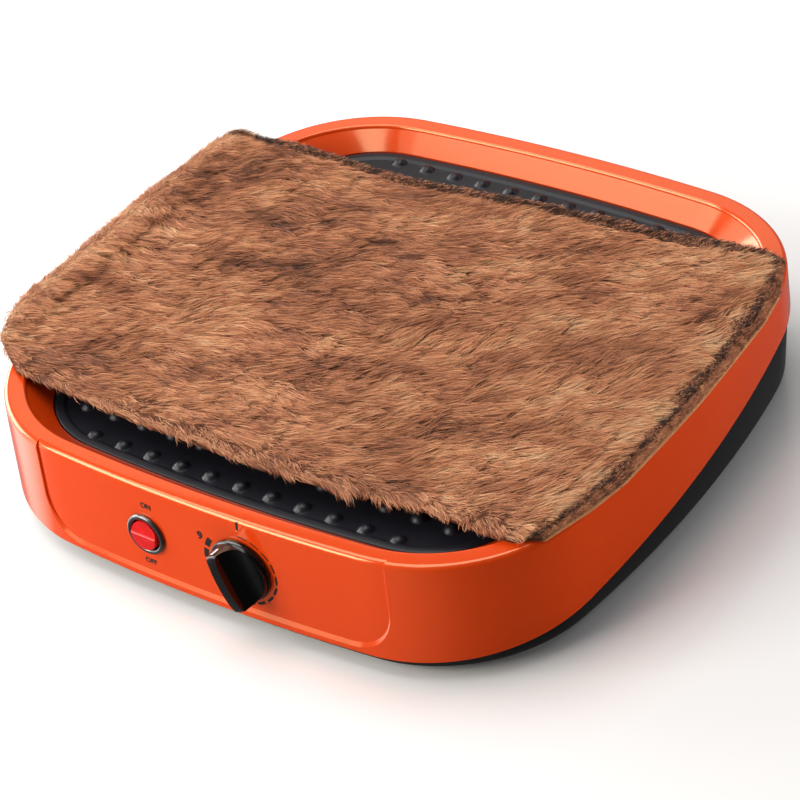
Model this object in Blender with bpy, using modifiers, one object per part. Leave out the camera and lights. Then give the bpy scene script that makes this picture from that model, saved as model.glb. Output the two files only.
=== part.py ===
"""Electric foot warmer: a heated, studded plate in a moulded shell, under a lift-off fur cover.

Units are metres, +Z is up, and the control panel with its switch and knob faces -Y.
Every piece is placed from the middle of the heater's footprint. One parent empty then
moves them all together, so that the origin lies under the middle of the whole thing.
"""

import math

import bmesh
import bpy
from mathutils import Matrix, Vector

# Outline of the body, seen from above: four slow arcs joined by round corners
SHELL_WIDTH = 0.352
SHELL_DEPTH = 0.347
CORNER_RADIUS = 0.084
SIDE_ARC_RADIUS = 0.661
END_ARC_RADIUS = 1.128
CORNER_STEPS = 6
ARC_STEPS = 2
HIDDEN_CORNER_STEPS = 4
HIDDEN_ARC_STEPS = 1

# Heights of the body
FOOT_STANDOFF = 0.003
BODY_HEIGHT = 0.065

# Clearances, and how far cuts run past and joined shapes bite in
SEAT = 0.0003
OVERRUN = 0.002
BITE = 0.001
WELD = 0.00001

# Top shell
SHELL_WALL = 0.003
SHELL_FLARE = 0.002
RIM_BAND = 0.012
RIM_FILLET = 0.003
WELL_FILLET = 0.002
FILLET_STEPS = 2
PART_LINE_FRONT = 0.0072
PART_LINE_BACK = 0.0445

# Foot plate and the ledge it sits on
WELL_MARGIN_X = 0.0285
WELL_MARGIN_Y = 0.0232
PLATE_CORNER = 0.0532
PLATE_DROP = 0.012
PLATE_THICKNESS = 0.002
PLATE_LIP_RISE = 0.0012
PLATE_LIP_WIDTH = 0.0045
PLATE_LIP_SLOPE = 0.002
PLATE_EDGE_FILLET = 0.0008
PLATE_GAP = 0.0008
LEDGE_WIDTH = 0.009
SEAL_THICKNESS = 0.0012
SEAL_WIDTH = 0.0045

# Studs on the plate: the end rows are shorter than the others
STUD_MARGIN_X = 0.0365
STUD_MARGIN_Y = 0.01155
STUD_COLUMNS = 13
STUD_ROWS = 16
STUD_END_ROW_LOSS = 1
STUD_RADIUS = 0.0043
STUD_TOP_RADIUS = 0.0026
STUD_HEIGHT = 0.0026
STUD_SIDES = 5

# Bosses under the plate, and the screws that clamp the heating pack to them
PLATE_BOSS_MARGIN_X = 0.0525
PLATE_BOSS_MARGIN_Y = 0.0553
PLATE_BOSS_RADIUS = 0.004
PLATE_SCREW_RADIUS = 0.0015
PLATE_SCREW_HEAD_RADIUS = 0.003
PLATE_SCREW_HEAD = 0.002
PLATE_SCREW_LENGTH = 0.009

# Heating pack under the plate: foil, wire, felt and a steel pan
FOIL_THICKNESS = 0.0006
ELEMENT_RADIUS = 0.0009
FELT_THICKNESS = 0.007
PAN_WALL = 0.0008
PAN_GAP = 0.0012
PAN_FLANGE = 0.006
PACK_GAP = 0.0012
ELEMENT_RUNS = 8
ELEMENT_MARGIN_X = 0.0385
ELEMENT_MARGIN_Y = 0.0453
ELEMENT_TURN_STEPS = 4
ELEMENT_TAIL = 0.006

# Base tray
BASE_WALL = 0.0025
BASE_SETBACK = 0.0012
BASE_DRAFT = 0.0038
BASE_FILLET = 0.004
TONGUE_HEIGHT = 0.003
TONGUE_WALL = 0.0016
TONGUE_GAP = 0.0004

# Posts between the tray and the shell, and their screws
SHELL_POST_RADIUS = 0.0045
TRAY_POST_RADIUS = 0.0049
POST_INSET = 0.011
POST_JOINT_RISE = 0.0045
SHELL_POST_DROP = 0.0034
RIB_THICKNESS = 0.0024
RIB_INSET = 0.0015
RIB_DROP = 0.0012
SCREW_RADIUS = 0.0015
SCREW_HEAD_RADIUS = 0.003
SCREW_HEAD = 0.002
SCREW_LENGTH = 0.014
SCREW_SEAT_DEPTH = 0.006
SOCKET_RADIUS = 0.0009
SOCKET_DEPTH = 0.001

# Rubber feet, pushed through the tray's floor
FOOT_INSET_X = 0.058
FOOT_INSET_Y = 0.0555
FOOT_RADIUS = 0.009
FOOT_NECK_RADIUS = 0.003
FOOT_HEAD_RADIUS = 0.0045
FOOT_HEAD = 0.003
FOOT_FILLET = 0.001

# Air slots in the tray's floor
SLOT_COUNT = 7
SLOT_PITCH = 0.012
SLOT_LENGTH = 0.026
SLOT_WIDTH = 0.004
SLOT_ROW_INSET = 0.0985

# Recessed control panel
PANEL_INSET = 0.069
PANEL_RECESS = 0.0012
PANEL_BEVEL = 0.0022
PANEL_CORNER = 0.025
PANEL_MARGIN = 0.0028
PANEL_CORNER_STEPS = 4
PANEL_SPAN_STEPS = 6
CONTROL_DROP = 0.0295

# Rocker switch
SWITCH_X = -0.036
BEZEL_RADIUS = 0.0118
BEZEL_THICKNESS = 0.0022
BEZEL_FILLET = 0.0008
BARREL_RADIUS = 0.0103
BARREL_LENGTH = 0.014
SWITCH_WELL_RADIUS = 0.0093
SWITCH_WELL_DEPTH = 0.008
ROCKER_RADIUS = 0.009
ROCKER_PIVOT_RISE = 0.0005
ROCKER_RIDGE = 0.0038
ROCKER_BACK = 0.0032
ROCKER_FACE_ANGLE = math.radians(8)
ROCKER_THROW = math.radians(14)
ROCKER_PIN_RADIUS = 0.0009
ROCKER_PIN_REACH = 0.0097
LAMP_RADIUS = 0.0014
LAMP_LENGTH = 0.009
BLADE_WIDTH = 0.0048
BLADE_THICKNESS = 0.0008
BLADE_LENGTH = 0.008
BLADE_POCKET = 0.0015
BLADE_PITCH = 0.006

# Thermostat
KNOB_X = 0.0225
BUSH_RADIUS = 0.0047
BUSH_REACH = 0.0042
BUSH_FLANGE_RADIUS = 0.007
BUSH_FLANGE = 0.001
NUT_ACROSS = 0.014
NUT_THICKNESS = 0.0022
SHAFT_RADIUS = 0.003
SHAFT_REACH = 0.0095
SHAFT_FLAT = 0.0008
SHAFT_IN_BODY = 0.008
THERMOSTAT_WIDTH = 0.030
THERMOSTAT_HEIGHT = 0.021
THERMOSTAT_DEPTH = 0.014
THERMOSTAT_BEVEL = 0.001
TAB_WIDTH = 0.0048
TAB_THICKNESS = 0.0008
TAB_LENGTH = 0.007
TAB_POCKET = 0.0015
TAB_PITCH = 0.014

# Knob: a hollow skirt with a bar grip that is scooped on both sides
KNOB_RADIUS = 0.0183
KNOB_FACE_RADIUS = 0.0172
KNOB_SKIRT = 0.0065
KNOB_WALL = 0.002
KNOB_FILLET = 0.001
KNOB_LIFT = 0.0006
GRIP_LENGTH = 0.0330
GRIP_HEIGHT = 0.0075
GRIP_ROOT_WIDTH = 0.0175
GRIP_WIDTH = 0.0058
GRIP_FILLET = 0.0009
GRIP_LEVEL_SHARES = (-0.15, 0.0, 0.10, 0.28, 0.52, 0.88, 1.0)
GRIP_FLARE_SHARES = (1.0, 1.0, 0.60, 0.26, 0.08, 0.0, 0.0)
GRIP_END_STEPS = 6
KNOB_REST_ANGLE = math.radians(24)

# Thermal cut-out, clipped under the steel pan
CUTOUT_X = 0.040
CUTOUT_Y = -0.050
CUTOUT_RADIUS = 0.008
CUTOUT_HEIGHT = 0.006
CUTOUT_CAP_RADIUS = 0.0065
CUTOUT_CAP = 0.002
CLIP_WIDTH = 0.007
CLIP_THICKNESS = 0.0008
CLIP_FOOT = 0.007

# Cord inlet and terminal block
GLAND_INSET = 0.106
GLAND_RISE = 0.017
GLAND_BORE_RADIUS = 0.0034
GLAND_NECK_RADIUS = 0.0055
GLAND_CLIP_RADIUS = 0.0066
GLAND_CLIP = 0.002
GLAND_FLANGE_RADIUS = 0.0082
GLAND_FLANGE = 0.002
GLAND_NOSE = 0.0012
BLOCK_INSET = 0.0455
BLOCK_DEPTH = 0.018
BLOCK_HEIGHT = 0.013
BLOCK_BASE = 0.005
BLOCK_POLE_PITCH = 0.010
BLOCK_POLE_WIDTH = 0.007
BLOCK_HOLE_RADIUS = 0.0019
BLOCK_GRIP = 0.005

# Inner wires: their size, and the heights that their routes pass
LEAD_RADIUS = 0.0011
LEAD_HOLE_RADIUS = 0.0022
LEAD_BEND = 0.004
LEAD_STEP = 0.022
LEAD_LAY = 0.009
LEAD_CLIMB = 0.020

# Fur cover, laid over the rim and pushed to the left. Corners run anticlockwise from the
# front right: shares of half the width and of half the depth, and of the depth for radii.
COVER_OVERHANG = 0.022
COVER_SHORTFALL = 0.084
COVER_THICKNESS = 0.006
COVER_ROUNDING = 0.002
COVER_SHIFT_X = -0.0145
COVER_SHIFT_Y = -0.0015
COVER_STEPS = 4
COVER_CORNER_SHARES = (
    (0.965, -0.985, 0.05),
    (1.000, 0.000, 1.50),
    (0.935, 1.000, 0.04),
    (-0.960, 0.885, 0.12),
    (-1.000, -0.200, 1.50),
    (-0.975, -1.000, 0.19),
)

# Heights and half sizes that follow from the sizes above
HALF_WIDTH = SHELL_WIDTH / 2
HALF_DEPTH = SHELL_DEPTH / 2
PLATE_HALF_X = HALF_WIDTH - WELL_MARGIN_X
PLATE_HALF_Y = HALF_DEPTH - WELL_MARGIN_Y
PANEL_HALF_WIDTH = HALF_WIDTH - PANEL_INSET
COVER_WIDTH = SHELL_WIDTH + COVER_OVERHANG
COVER_DEPTH = SHELL_DEPTH - COVER_SHORTFALL
FOOT_X = HALF_WIDTH - FOOT_INSET_X
FOOT_Y = HALF_DEPTH - FOOT_INSET_Y
SLOT_ROW_Y = HALF_DEPTH - SLOT_ROW_INSET
GLAND_X = GLAND_INSET - HALF_WIDTH
BLOCK_Y = HALF_DEPTH - BLOCK_INSET
BASE_Z = FOOT_STANDOFF
RIM_Z = BASE_Z + BODY_HEIGHT
FLOOR_Z = BASE_Z + BASE_WALL
PLATE_Z = RIM_Z - PLATE_DROP
LIP_Z = PLATE_Z + PLATE_LIP_RISE
PLATE_UNDER_Z = PLATE_Z - PLATE_THICKNESS
LIP_UNDER_Z = LIP_Z - PLATE_THICKNESS
LEDGE_Z = LIP_UNDER_Z - SEAT - SEAL_THICKNESS - SEAT
LEDGE_UNDER_Z = LEDGE_Z - SHELL_WALL
FOIL_Z = PLATE_UNDER_Z - SEAT - FOIL_THICKNESS
ELEMENT_Z = FOIL_Z - SEAT - ELEMENT_RADIUS
FELT_TOP_Z = ELEMENT_Z - ELEMENT_RADIUS - SEAT
PAN_Z = FELT_TOP_Z - FELT_THICKNESS - SEAT
PAN_UNDER_Z = PAN_Z - PAN_WALL
FLANGE_Z = LEDGE_UNDER_Z - SEAT
OPENING_INSET = LEDGE_WIDTH - PLATE_GAP
PAN_INSET = OPENING_INSET + PAN_GAP
PACK_INSET = PAN_INSET + PAN_WALL + PACK_GAP
CONTROL_Z = RIM_Z - CONTROL_DROP
PANEL_BACK = SHELL_WALL - PANEL_RECESS
BUSH_SEAT = -PANEL_BACK - SEAT
THERMOSTAT_FRONT = BUSH_SEAT - BUSH_FLANGE - SEAT
BLADE_END = -BARREL_LENGTH - BLADE_LENGTH + BLADE_POCKET
KNOB_FACE = KNOB_LIFT + KNOB_SKIRT
KNOB_TOP = KNOB_FACE + GRIP_HEIGHT
STUD_LEFT = STUD_MARGIN_X - PLATE_HALF_X
STUD_FRONT = STUD_MARGIN_Y - PLATE_HALF_Y
STUD_STEP_X = -2 * STUD_LEFT / (STUD_COLUMNS - 1)
STUD_STEP_Y = -2 * STUD_FRONT / (STUD_ROWS - 1)
ELEMENT_HALF_RUN = PLATE_HALF_X - ELEMENT_MARGIN_X
ELEMENT_FRONT = ELEMENT_MARGIN_Y - PLATE_HALF_Y
ELEMENT_PITCH = -2 * ELEMENT_FRONT / (ELEMENT_RUNS - 1)
BLOCK_FOOT_Z = FLOOR_Z + SEAT
BLOCK_HOLE_Z = BLOCK_FOOT_Z + (BLOCK_BASE + BLOCK_HEIGHT) / 2

# The knob reaches out in front, and the cover to the left, so the origin is set between
COVER_REACH = COVER_WIDTH / 2 - COVER_SHIFT_X
SHELL_REACH = HALF_WIDTH + SHELL_FLARE / 2
ORIGIN_X = (COVER_REACH - SHELL_REACH) / 2
ORIGIN_Y = (KNOB_TOP - PANEL_RECESS) / 2

COLOURS = {
    "orange_plastic": ((0.80, 0.16, 0.03), 0.30, 0.0),
    "black_plastic": ((0.02, 0.02, 0.022), 0.45, 0.0),
    "plate_coating": ((0.022, 0.022, 0.027), 0.38, 0.0),
    "seal_rubber": ((0.10, 0.02, 0.015), 0.70, 0.0),
    "foil": ((0.80, 0.80, 0.80), 0.30, 1.0),
    "element_sleeve": ((0.55, 0.05, 0.04), 0.50, 0.0),
    "felt": ((0.75, 0.72, 0.62), 0.95, 0.0),
    "steel": ((0.55, 0.56, 0.58), 0.35, 1.0),
    "brass": ((0.72, 0.52, 0.22), 0.30, 1.0),
    "ceramic": ((0.80, 0.77, 0.70), 0.40, 0.0),
    "knob_gloss": ((0.012, 0.012, 0.013), 0.12, 0.0),
    "bezel_gloss": ((0.05, 0.05, 0.052), 0.18, 0.0),
    "rocker_red": ((0.70, 0.01, 0.01), 0.12, 0.0),
    "lamp_glass": ((0.95, 0.45, 0.25), 0.10, 0.0),
    "rubber": ((0.03, 0.03, 0.03), 0.80, 0.0),
    "white_nylon": ((0.85, 0.84, 0.80), 0.50, 0.0),
    "brown_wire": ((0.16, 0.06, 0.03), 0.50, 0.0),
    "blue_wire": ((0.03, 0.09, 0.35), 0.50, 0.0),
    "fur": ((0.33, 0.17, 0.09), 0.90, 0.0),
}

for old in list(bpy.data.objects):
    bpy.data.objects.remove(old, do_unlink=True)

PARTS = bpy.data.collections.new("foot_warmer")
CUTTERS = bpy.data.collections.new("cutters")
bpy.context.scene.collection.children.link(PARTS)
bpy.context.scene.collection.children.link(CUTTERS)


def add_empty(name, matrix, parent):
    """An empty that carries other pieces, on a mounting place or a joint's axis."""
    empty = bpy.data.objects.new(name, None)
    empty.parent = parent
    empty.matrix_local = matrix
    PARTS.objects.link(empty)
    return empty


HEATER = add_empty("heater_centre", Matrix.Translation((ORIGIN_X, ORIGIN_Y, 0)), None)


def material(name):
    """The material of that name, made once from the table of colours."""
    if name in bpy.data.materials:
        return bpy.data.materials[name]
    colour, roughness, metallic = COLOURS[name]
    made = bpy.data.materials.new(name)
    made.use_nodes = True
    shader = made.node_tree.nodes["Principled BSDF"]
    shader.inputs["Base Color"].default_value = (*colour, 1)
    shader.inputs["Roughness"].default_value = roughness
    shader.inputs["Metallic"].default_value = metallic
    return made


def add_object(name, data, finish, parent=None):
    """A new object in the parts collection, or in the cutters when it has no finish."""
    obj = bpy.data.objects.new(name, data)
    obj.parent = parent or HEATER
    if finish is None:
        CUTTERS.objects.link(obj)
        obj.hide_render = True
        obj.display_type = "WIRE"
        return obj
    PARTS.objects.link(obj)
    data.materials.append(material(finish))
    return obj


def add_mesh(name, shape, finish, parent=None):
    """Turns a bmesh into an object, with its faces pointing out and its curves smooth."""
    bmesh.ops.recalc_face_normals(shape, faces=shape.faces[:])
    data = bpy.data.meshes.new(name)
    shape.to_mesh(data)
    shape.free()
    data.shade_smooth()
    data.set_sharp_from_angle(angle=math.radians(35))
    return add_object(name, data, finish, parent)


def boolean(target, operand, operation="DIFFERENCE"):
    """Cuts the operand from the target, or joins it, as a modifier on the target."""
    modifier = target.modifiers.new(operand.name, "BOOLEAN")
    modifier.operation = operation
    modifier.object = operand
    modifier.solver = "EXACT"
    return target


def outline(half_x, half_y, corner, side_arc, end_arc, hidden=False):
    """A rounded rectangle whose four sides are slow arcs, as points turning anticlockwise.

    The corner arc touches both side arcs, so its centre lies at (side_arc - corner) from
    one arc's centre and at (end_arc - corner) from the other's.
    """
    side_centre = Vector((half_x - side_arc, 0))
    end_centre = Vector((0, half_y - end_arc))
    to_side, to_end = side_arc - corner, end_arc - corner
    line = end_centre - side_centre
    along = (to_side**2 - to_end**2 + line.length_squared) / (2 * line.length)
    across = math.sqrt(to_side**2 - along**2)
    forward = line.normalized()
    corner_centre = side_centre + forward * along + Vector((-forward.y, forward.x)) * across
    from_side = corner_centre - side_centre
    from_end = corner_centre - end_centre
    side_stop = math.atan2(from_side.y, from_side.x)
    end_start = math.atan2(from_end.y, from_end.x)
    arc_steps = HIDDEN_ARC_STEPS if hidden else ARC_STEPS
    corner_steps = HIDDEN_CORNER_STEPS if hidden else CORNER_STEPS
    spans = (
        (side_centre, side_arc, 0, side_stop, arc_steps),
        (corner_centre, corner, side_stop, end_start, corner_steps),
        (end_centre, end_arc, end_start, math.pi / 2, arc_steps),
    )
    quarter = []
    for centre, radius, start, stop, steps in spans:
        for step in range(steps):
            angle = start + (stop - start) * step / steps
            quarter.append(centre + radius * Vector((math.cos(angle), math.sin(angle))))
    upper = quarter + [Vector((0, half_y))]
    upper += [Vector((-p.x, p.y)) for p in reversed(quarter[1:])]
    return upper + [-p for p in upper]


def body_outline(inset):
    """The body's outline at the rim, moved in by an even distance."""
    return outline(
        HALF_WIDTH - inset,
        HALF_DEPTH - inset,
        CORNER_RADIUS - inset,
        SIDE_ARC_RADIUS - inset,
        END_ARC_RADIUS - inset,
    )


def plate_outline(inset, hidden=False):
    """The foot plate's outline, moved in by an even distance. Hidden pieces use fewer steps."""
    return outline(
        PLATE_HALF_X - inset,
        PLATE_HALF_Y - inset,
        PLATE_CORNER - inset,
        SIDE_ARC_RADIUS - inset,
        END_ARC_RADIUS - inset,
        hidden,
    )


def flat_ring(points, z):
    return [Vector((p.x, p.y, z)) for p in points]


def part_line(y):
    """Height of the joint between shell and tray, which climbs from front to back."""
    share = (y + HALF_DEPTH) / SHELL_DEPTH
    return BASE_Z + PART_LINE_FRONT + (PART_LINE_BACK - PART_LINE_FRONT) * share


def wall_grow(z):
    """How far the leaning wall stands outside the rim's outline at a height."""
    return SHELL_FLARE * (RIM_Z - z) / BODY_HEIGHT


def shell_ring(inset, height):
    """A ring on the shell's wall, which leans out downwards. The height depends on y."""
    top, foot = body_outline(inset), body_outline(inset - SHELL_FLARE)
    ring = []
    for upper, lower in zip(top, foot):
        z = height(upper.y)
        point = upper.lerp(lower, (RIM_Z - z) / BODY_HEIGHT)
        ring.append(Vector((point.x, point.y, z)))
    return ring


def base_ring(inset, height):
    """A ring on the tray's wall, which leans in from the joint down to the floor."""
    top = shell_ring(inset, part_line)
    foot = body_outline(inset + BASE_DRAFT - SHELL_FLARE)
    ring = []
    for upper, lower in zip(top, foot):
        z = height(upper.y)
        share = (upper.z - z) / (upper.z - BASE_Z)
        point = upper.xy.lerp(lower, share)
        ring.append(Vector((point.x, point.y, z)))
    return ring


def end_wall_y(x, grow):
    """Distance from the middle to the front or back wall, beside its centre line."""
    radius = END_ARC_RADIUS + grow
    return HALF_DEPTH - END_ARC_RADIUS + math.sqrt(radius**2 - x**2)


def level(z):
    return lambda y: z


def line_up(rise):
    return lambda y: part_line(y) + rise


def loft(name, rings, finish, closed=False, parent=None):
    """Skins a stack of rings that have the same number of points.

    A closed stack joins its last ring to its first. An open one is capped at both ends.
    """
    shape = bmesh.new()
    rows = [[shape.verts.new(point) for point in ring] for ring in rings]
    count = len(rows[0])
    pairs = list(zip(rows, rows[1:]))
    if closed:
        pairs.append((rows[-1], rows[0]))
    for low, high in pairs:
        for i in range(count):
            j = (i + 1) % count
            shape.faces.new((low[i], low[j], high[j], high[i]))
    if not closed:
        shape.faces.new(reversed(rows[0]))
        shape.faces.new(rows[-1])
    return add_mesh(name, shape, finish, parent)


def quarter_round(radius):
    """Pairs of (inward, down) for a rounded edge, from its side up to its top."""
    angles = [math.pi / 2 * step / FILLET_STEPS for step in range(FILLET_STEPS + 1)]
    return [(radius * (1 - math.cos(a)), radius * (1 - math.sin(a))) for a in angles]


def turned(name, profile, finish, steps=20, parent=None, place=(0, 0, 0)):
    """A profile of (radius, height) points, from the top down, turned about local Z.

    A profile whose ends lie on the axis makes a solid. One that is a loop makes a ring.
    """
    shape = bmesh.new()
    verts = [shape.verts.new((radius, 0, height)) for radius, height in profile]
    for first, second in zip(verts, verts[1:]):
        shape.edges.new((first, second))
    if profile[0][0] > 0:
        shape.edges.new((verts[-1], verts[0]))
    data = bpy.data.meshes.new(name)
    shape.to_mesh(data)
    shape.free()
    obj = add_object(name, data, finish, parent)
    obj.location = place
    screw = obj.modifiers.new("turn", "SCREW")
    screw.steps = steps
    screw.render_steps = steps
    screw.use_merge_vertices = True
    screw.merge_threshold = WELD
    screw.use_smooth_shade = True
    return obj


def add_box(name, size, centre, finish, parent=None, bevel=0):
    """A block of that size about a centre, with its edges broken if asked."""
    shape = bmesh.new()
    bmesh.ops.create_cube(shape, size=1)
    bmesh.ops.scale(shape, vec=size, verts=shape.verts[:])
    obj = add_mesh(name, shape, finish, parent)
    obj.location = centre
    if bevel:
        rounding = obj.modifiers.new("edges", "BEVEL")
        rounding.width = bevel
        rounding.segments = 1
    return obj


def pegs(name, places, radius, low, high, finish=None, sides=12, parent=None):
    """Upright cylinders at several places in one object, such as a cutter for holes."""
    shape = bmesh.new()
    for place in places:
        bmesh.ops.create_cone(
            shape,
            cap_ends=True,
            segments=sides,
            radius1=radius,
            radius2=radius,
            depth=high - low,
            matrix=Matrix.Translation((place[0], place[1], (low + high) / 2)),
        )
    return add_mesh(name, shape, finish, parent)


def cross_peg(name, radius, half_length, place, finish, parent):
    """A cylinder that lies along the local X axis about a place."""
    peg = pegs(name, [(0, 0)], radius, -half_length, half_length, finish, parent=parent)
    peg.matrix_local = Matrix.Translation(place) @ Matrix.Rotation(math.pi / 2, 4, "Y")
    return peg


def tube(name, points, radius, finish, parent=None):
    """A round wire along a list of points, with filled ends."""
    data = bpy.data.curves.new(name, "CURVE")
    data.dimensions = "3D"
    data.bevel_depth = radius
    data.bevel_resolution = 1
    data.use_fill_caps = True
    spline = data.splines.new("POLY")
    spline.points.add(len(points) - 1)
    for place, point in zip(spline.points, points):
        place.co = (*point, 1)
    return add_object(name, data, finish, parent)


def slab(name, points, thickness, finish, parent=None):
    """A flat outline with a thickness, centred on its plane, as a mesh that can be cut."""
    data = bpy.data.curves.new(name, "CURVE")
    data.dimensions = "2D"
    data.fill_mode = "BOTH"
    data.extrude = thickness / 2
    spline = data.splines.new("POLY")
    spline.points.add(len(points) - 1)
    spline.use_cyclic_u = True
    for place, point in zip(spline.points, points):
        place.co = (point[0], point[1], 0, 1)
    guide = bpy.data.objects.new(name + "_guide", data)
    bpy.context.scene.collection.objects.link(guide)
    graph = bpy.context.evaluated_depsgraph_get()
    filled = bpy.data.meshes.new_from_object(guide.evaluated_get(graph))
    bpy.data.objects.remove(guide, do_unlink=True)
    shape = bmesh.new()
    shape.from_mesh(filled)
    bmesh.ops.remove_doubles(shape, verts=shape.verts[:], dist=WELD)
    return add_mesh(name, shape, finish, parent)


def flowing(route, step=LEAD_STEP):
    """Points about one step apart on a smooth curve through a short route."""
    ends = [route[0] * 2 - route[1]] + route + [route[-1] * 2 - route[-2]]
    ways = [(after - before).normalized() for before, after in zip(ends, ends[2:])]
    points = []
    for i, (start, stop) in enumerate(zip(route, route[1:])):
        length = (stop - start).length
        count = max(1, round(length / step))
        for t in (k / count for k in range(count)):
            ease = t * t * (3 - 2 * t)
            point = start.lerp(stop, ease)
            point += ways[i] * length * t * (1 - t) ** 2
            points.append(point - ways[i + 1] * length * t * t * (1 - t))
    return points + [route[-1]]


def round_corner(before, corner, after, radius, steps):
    """Points of the arc that replaces a sharp corner of an anticlockwise outline."""
    back, ahead = (before - corner).normalized(), (after - corner).normalized()
    half = back.angle(ahead) / 2
    centre = corner + (back + ahead).normalized() * (radius / math.sin(half))
    start = corner + back * (radius / math.tan(half)) - centre
    turn = (math.pi - 2 * half) / steps
    return [centre + Matrix.Rotation(turn * i, 2) @ start for i in range(steps + 1)]


def mirrored_places(x, y):
    return [(-x, -y), (x, -y), (x, y), (-x, y)]


def front_mount(name, x):
    """An empty on the panel's face: its Z axis points straight out of it, its Y axis up."""
    grow = wall_grow(CONTROL_Z) - PANEL_RECESS
    y = -end_wall_y(x, grow)
    lean = math.atan(SHELL_FLARE / BODY_HEIGHT)
    swing = math.asin(x / (END_ARC_RADIUS + grow))
    turn = Matrix.Rotation(swing, 4, "Z") @ Matrix.Rotation(math.pi / 2 - lean, 4, "X")
    return add_empty(name, Matrix.Translation((x, y, CONTROL_Z)) @ turn, HEATER)


def back_mount(name, x, z):
    """An empty on the tray's back wall, its Z axis pointing straight out of it."""
    line = part_line(HALF_DEPTH)
    top_grow = wall_grow(line) - BASE_SETBACK
    foot_grow = SHELL_FLARE - BASE_SETBACK - BASE_DRAFT
    grow = top_grow + (foot_grow - top_grow) * (line - z) / (line - BASE_Z)
    lean = math.atan((top_grow - foot_grow) / (line - BASE_Z))
    swing = math.pi - math.asin(x / (END_ARC_RADIUS + grow))
    turn = Matrix.Rotation(swing, 4, "Z") @ Matrix.Rotation(math.pi / 2 + lean, 4, "X")
    place = Matrix.Translation((x, end_wall_y(x, grow), z))
    return add_empty(name, place @ turn, HEATER)


def place_in(mount, x, y, z):
    """A point of a mount's own frame, in the heater's frame."""
    return mount.matrix_local @ Vector((x, y, z))


def post_places():
    """The four corners and the middles of the two sides, just inside the wall."""
    ring = body_outline(POST_INSET)
    half = len(ring) // 2
    corner = ARC_STEPS + CORNER_STEPS // 2
    return [ring[i] for i in (corner, half - corner, half, half + corner, -corner, 0)]


POSTS = post_places()
PLATE_BOSSES = mirrored_places(
    PLATE_HALF_X - PLATE_BOSS_MARGIN_X, PLATE_HALF_Y - PLATE_BOSS_MARGIN_Y
)
FEET = mirrored_places(FOOT_X, FOOT_Y)
SWITCH = front_mount("switch_mount", SWITCH_X)
DIAL = front_mount("dial_mount", KNOB_X)
GLAND = back_mount("gland_mount", GLAND_X, BASE_Z + GLAND_RISE)


def post_joint_z(place):
    """Height where a shell post meets the tray post under it."""
    return part_line(place.y) + POST_JOINT_RISE


def panel_outline(grow):
    """The panel's outline as (x, z) points. Its bottom corners are round."""
    radius = PANEL_CORNER + grow
    middle = PANEL_HALF_WIDTH - PANEL_CORNER
    centre_z = part_line(-HALF_DEPTH) + PANEL_MARGIN + PANEL_CORNER
    top_z = RIM_Z + OVERRUN
    crossing = [2 * step / PANEL_SPAN_STEPS - 1 for step in range(1, PANEL_SPAN_STEPS)]
    left = []
    for step in range(PANEL_CORNER_STEPS + 1):
        angle = math.pi / 2 * step / PANEL_CORNER_STEPS
        left.append((-middle - radius * math.cos(angle), centre_z - radius * math.sin(angle)))
    bottom = [(share * middle, centre_z - radius) for share in crossing]
    right = [(-x, z) for x, z in reversed(left)]
    half_top = PANEL_HALF_WIDTH + grow
    top = [(half_top, top_z)] + [(-share * half_top, top_z) for share in crossing]
    return left + bottom + right + top + [(-half_top, top_z)]


def make_panel_cutter():
    """The space in front of the recessed panel. It follows the wall and the rim, and its
    ends and bottom run out to the wall in a narrow bevel."""
    far = -RIM_BAND
    above = RIM_Z + RIM_FILLET
    rings = [shell_ring(PANEL_RECESS, level(BASE_Z))]
    for inward, down in quarter_round(RIM_FILLET):
        rings.append(flat_ring(body_outline(PANEL_RECESS + inward), RIM_Z - down))
    rings += [
        flat_ring(body_outline(PANEL_RECESS + RIM_FILLET), above),
        flat_ring(body_outline(far), above),
        flat_ring(body_outline(far), BASE_Z),
    ]
    layer = loft("panel_layer", rings, None, closed=True)
    slope = PANEL_BEVEL / PANEL_RECESS
    inner = panel_outline(-slope * PANEL_RECESS)
    outer = panel_outline(slope * OVERRUN)
    face_rings = [[Vector((x, -HALF_DEPTH + RIM_BAND, z)) for x, z in inner]]
    for points, depth in ((inner, PANEL_RECESS), (outer, -OVERRUN)):
        face_rings.append(
            [Vector((x, depth - end_wall_y(x, wall_grow(z)), z)) for x, z in points]
        )
    face_rings.append([Vector((x, -HALF_DEPTH - 2 * RIM_BAND, z)) for x, z in outer])
    return boolean(layer, loft("panel_face", face_rings, None), "INTERSECT")


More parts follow.
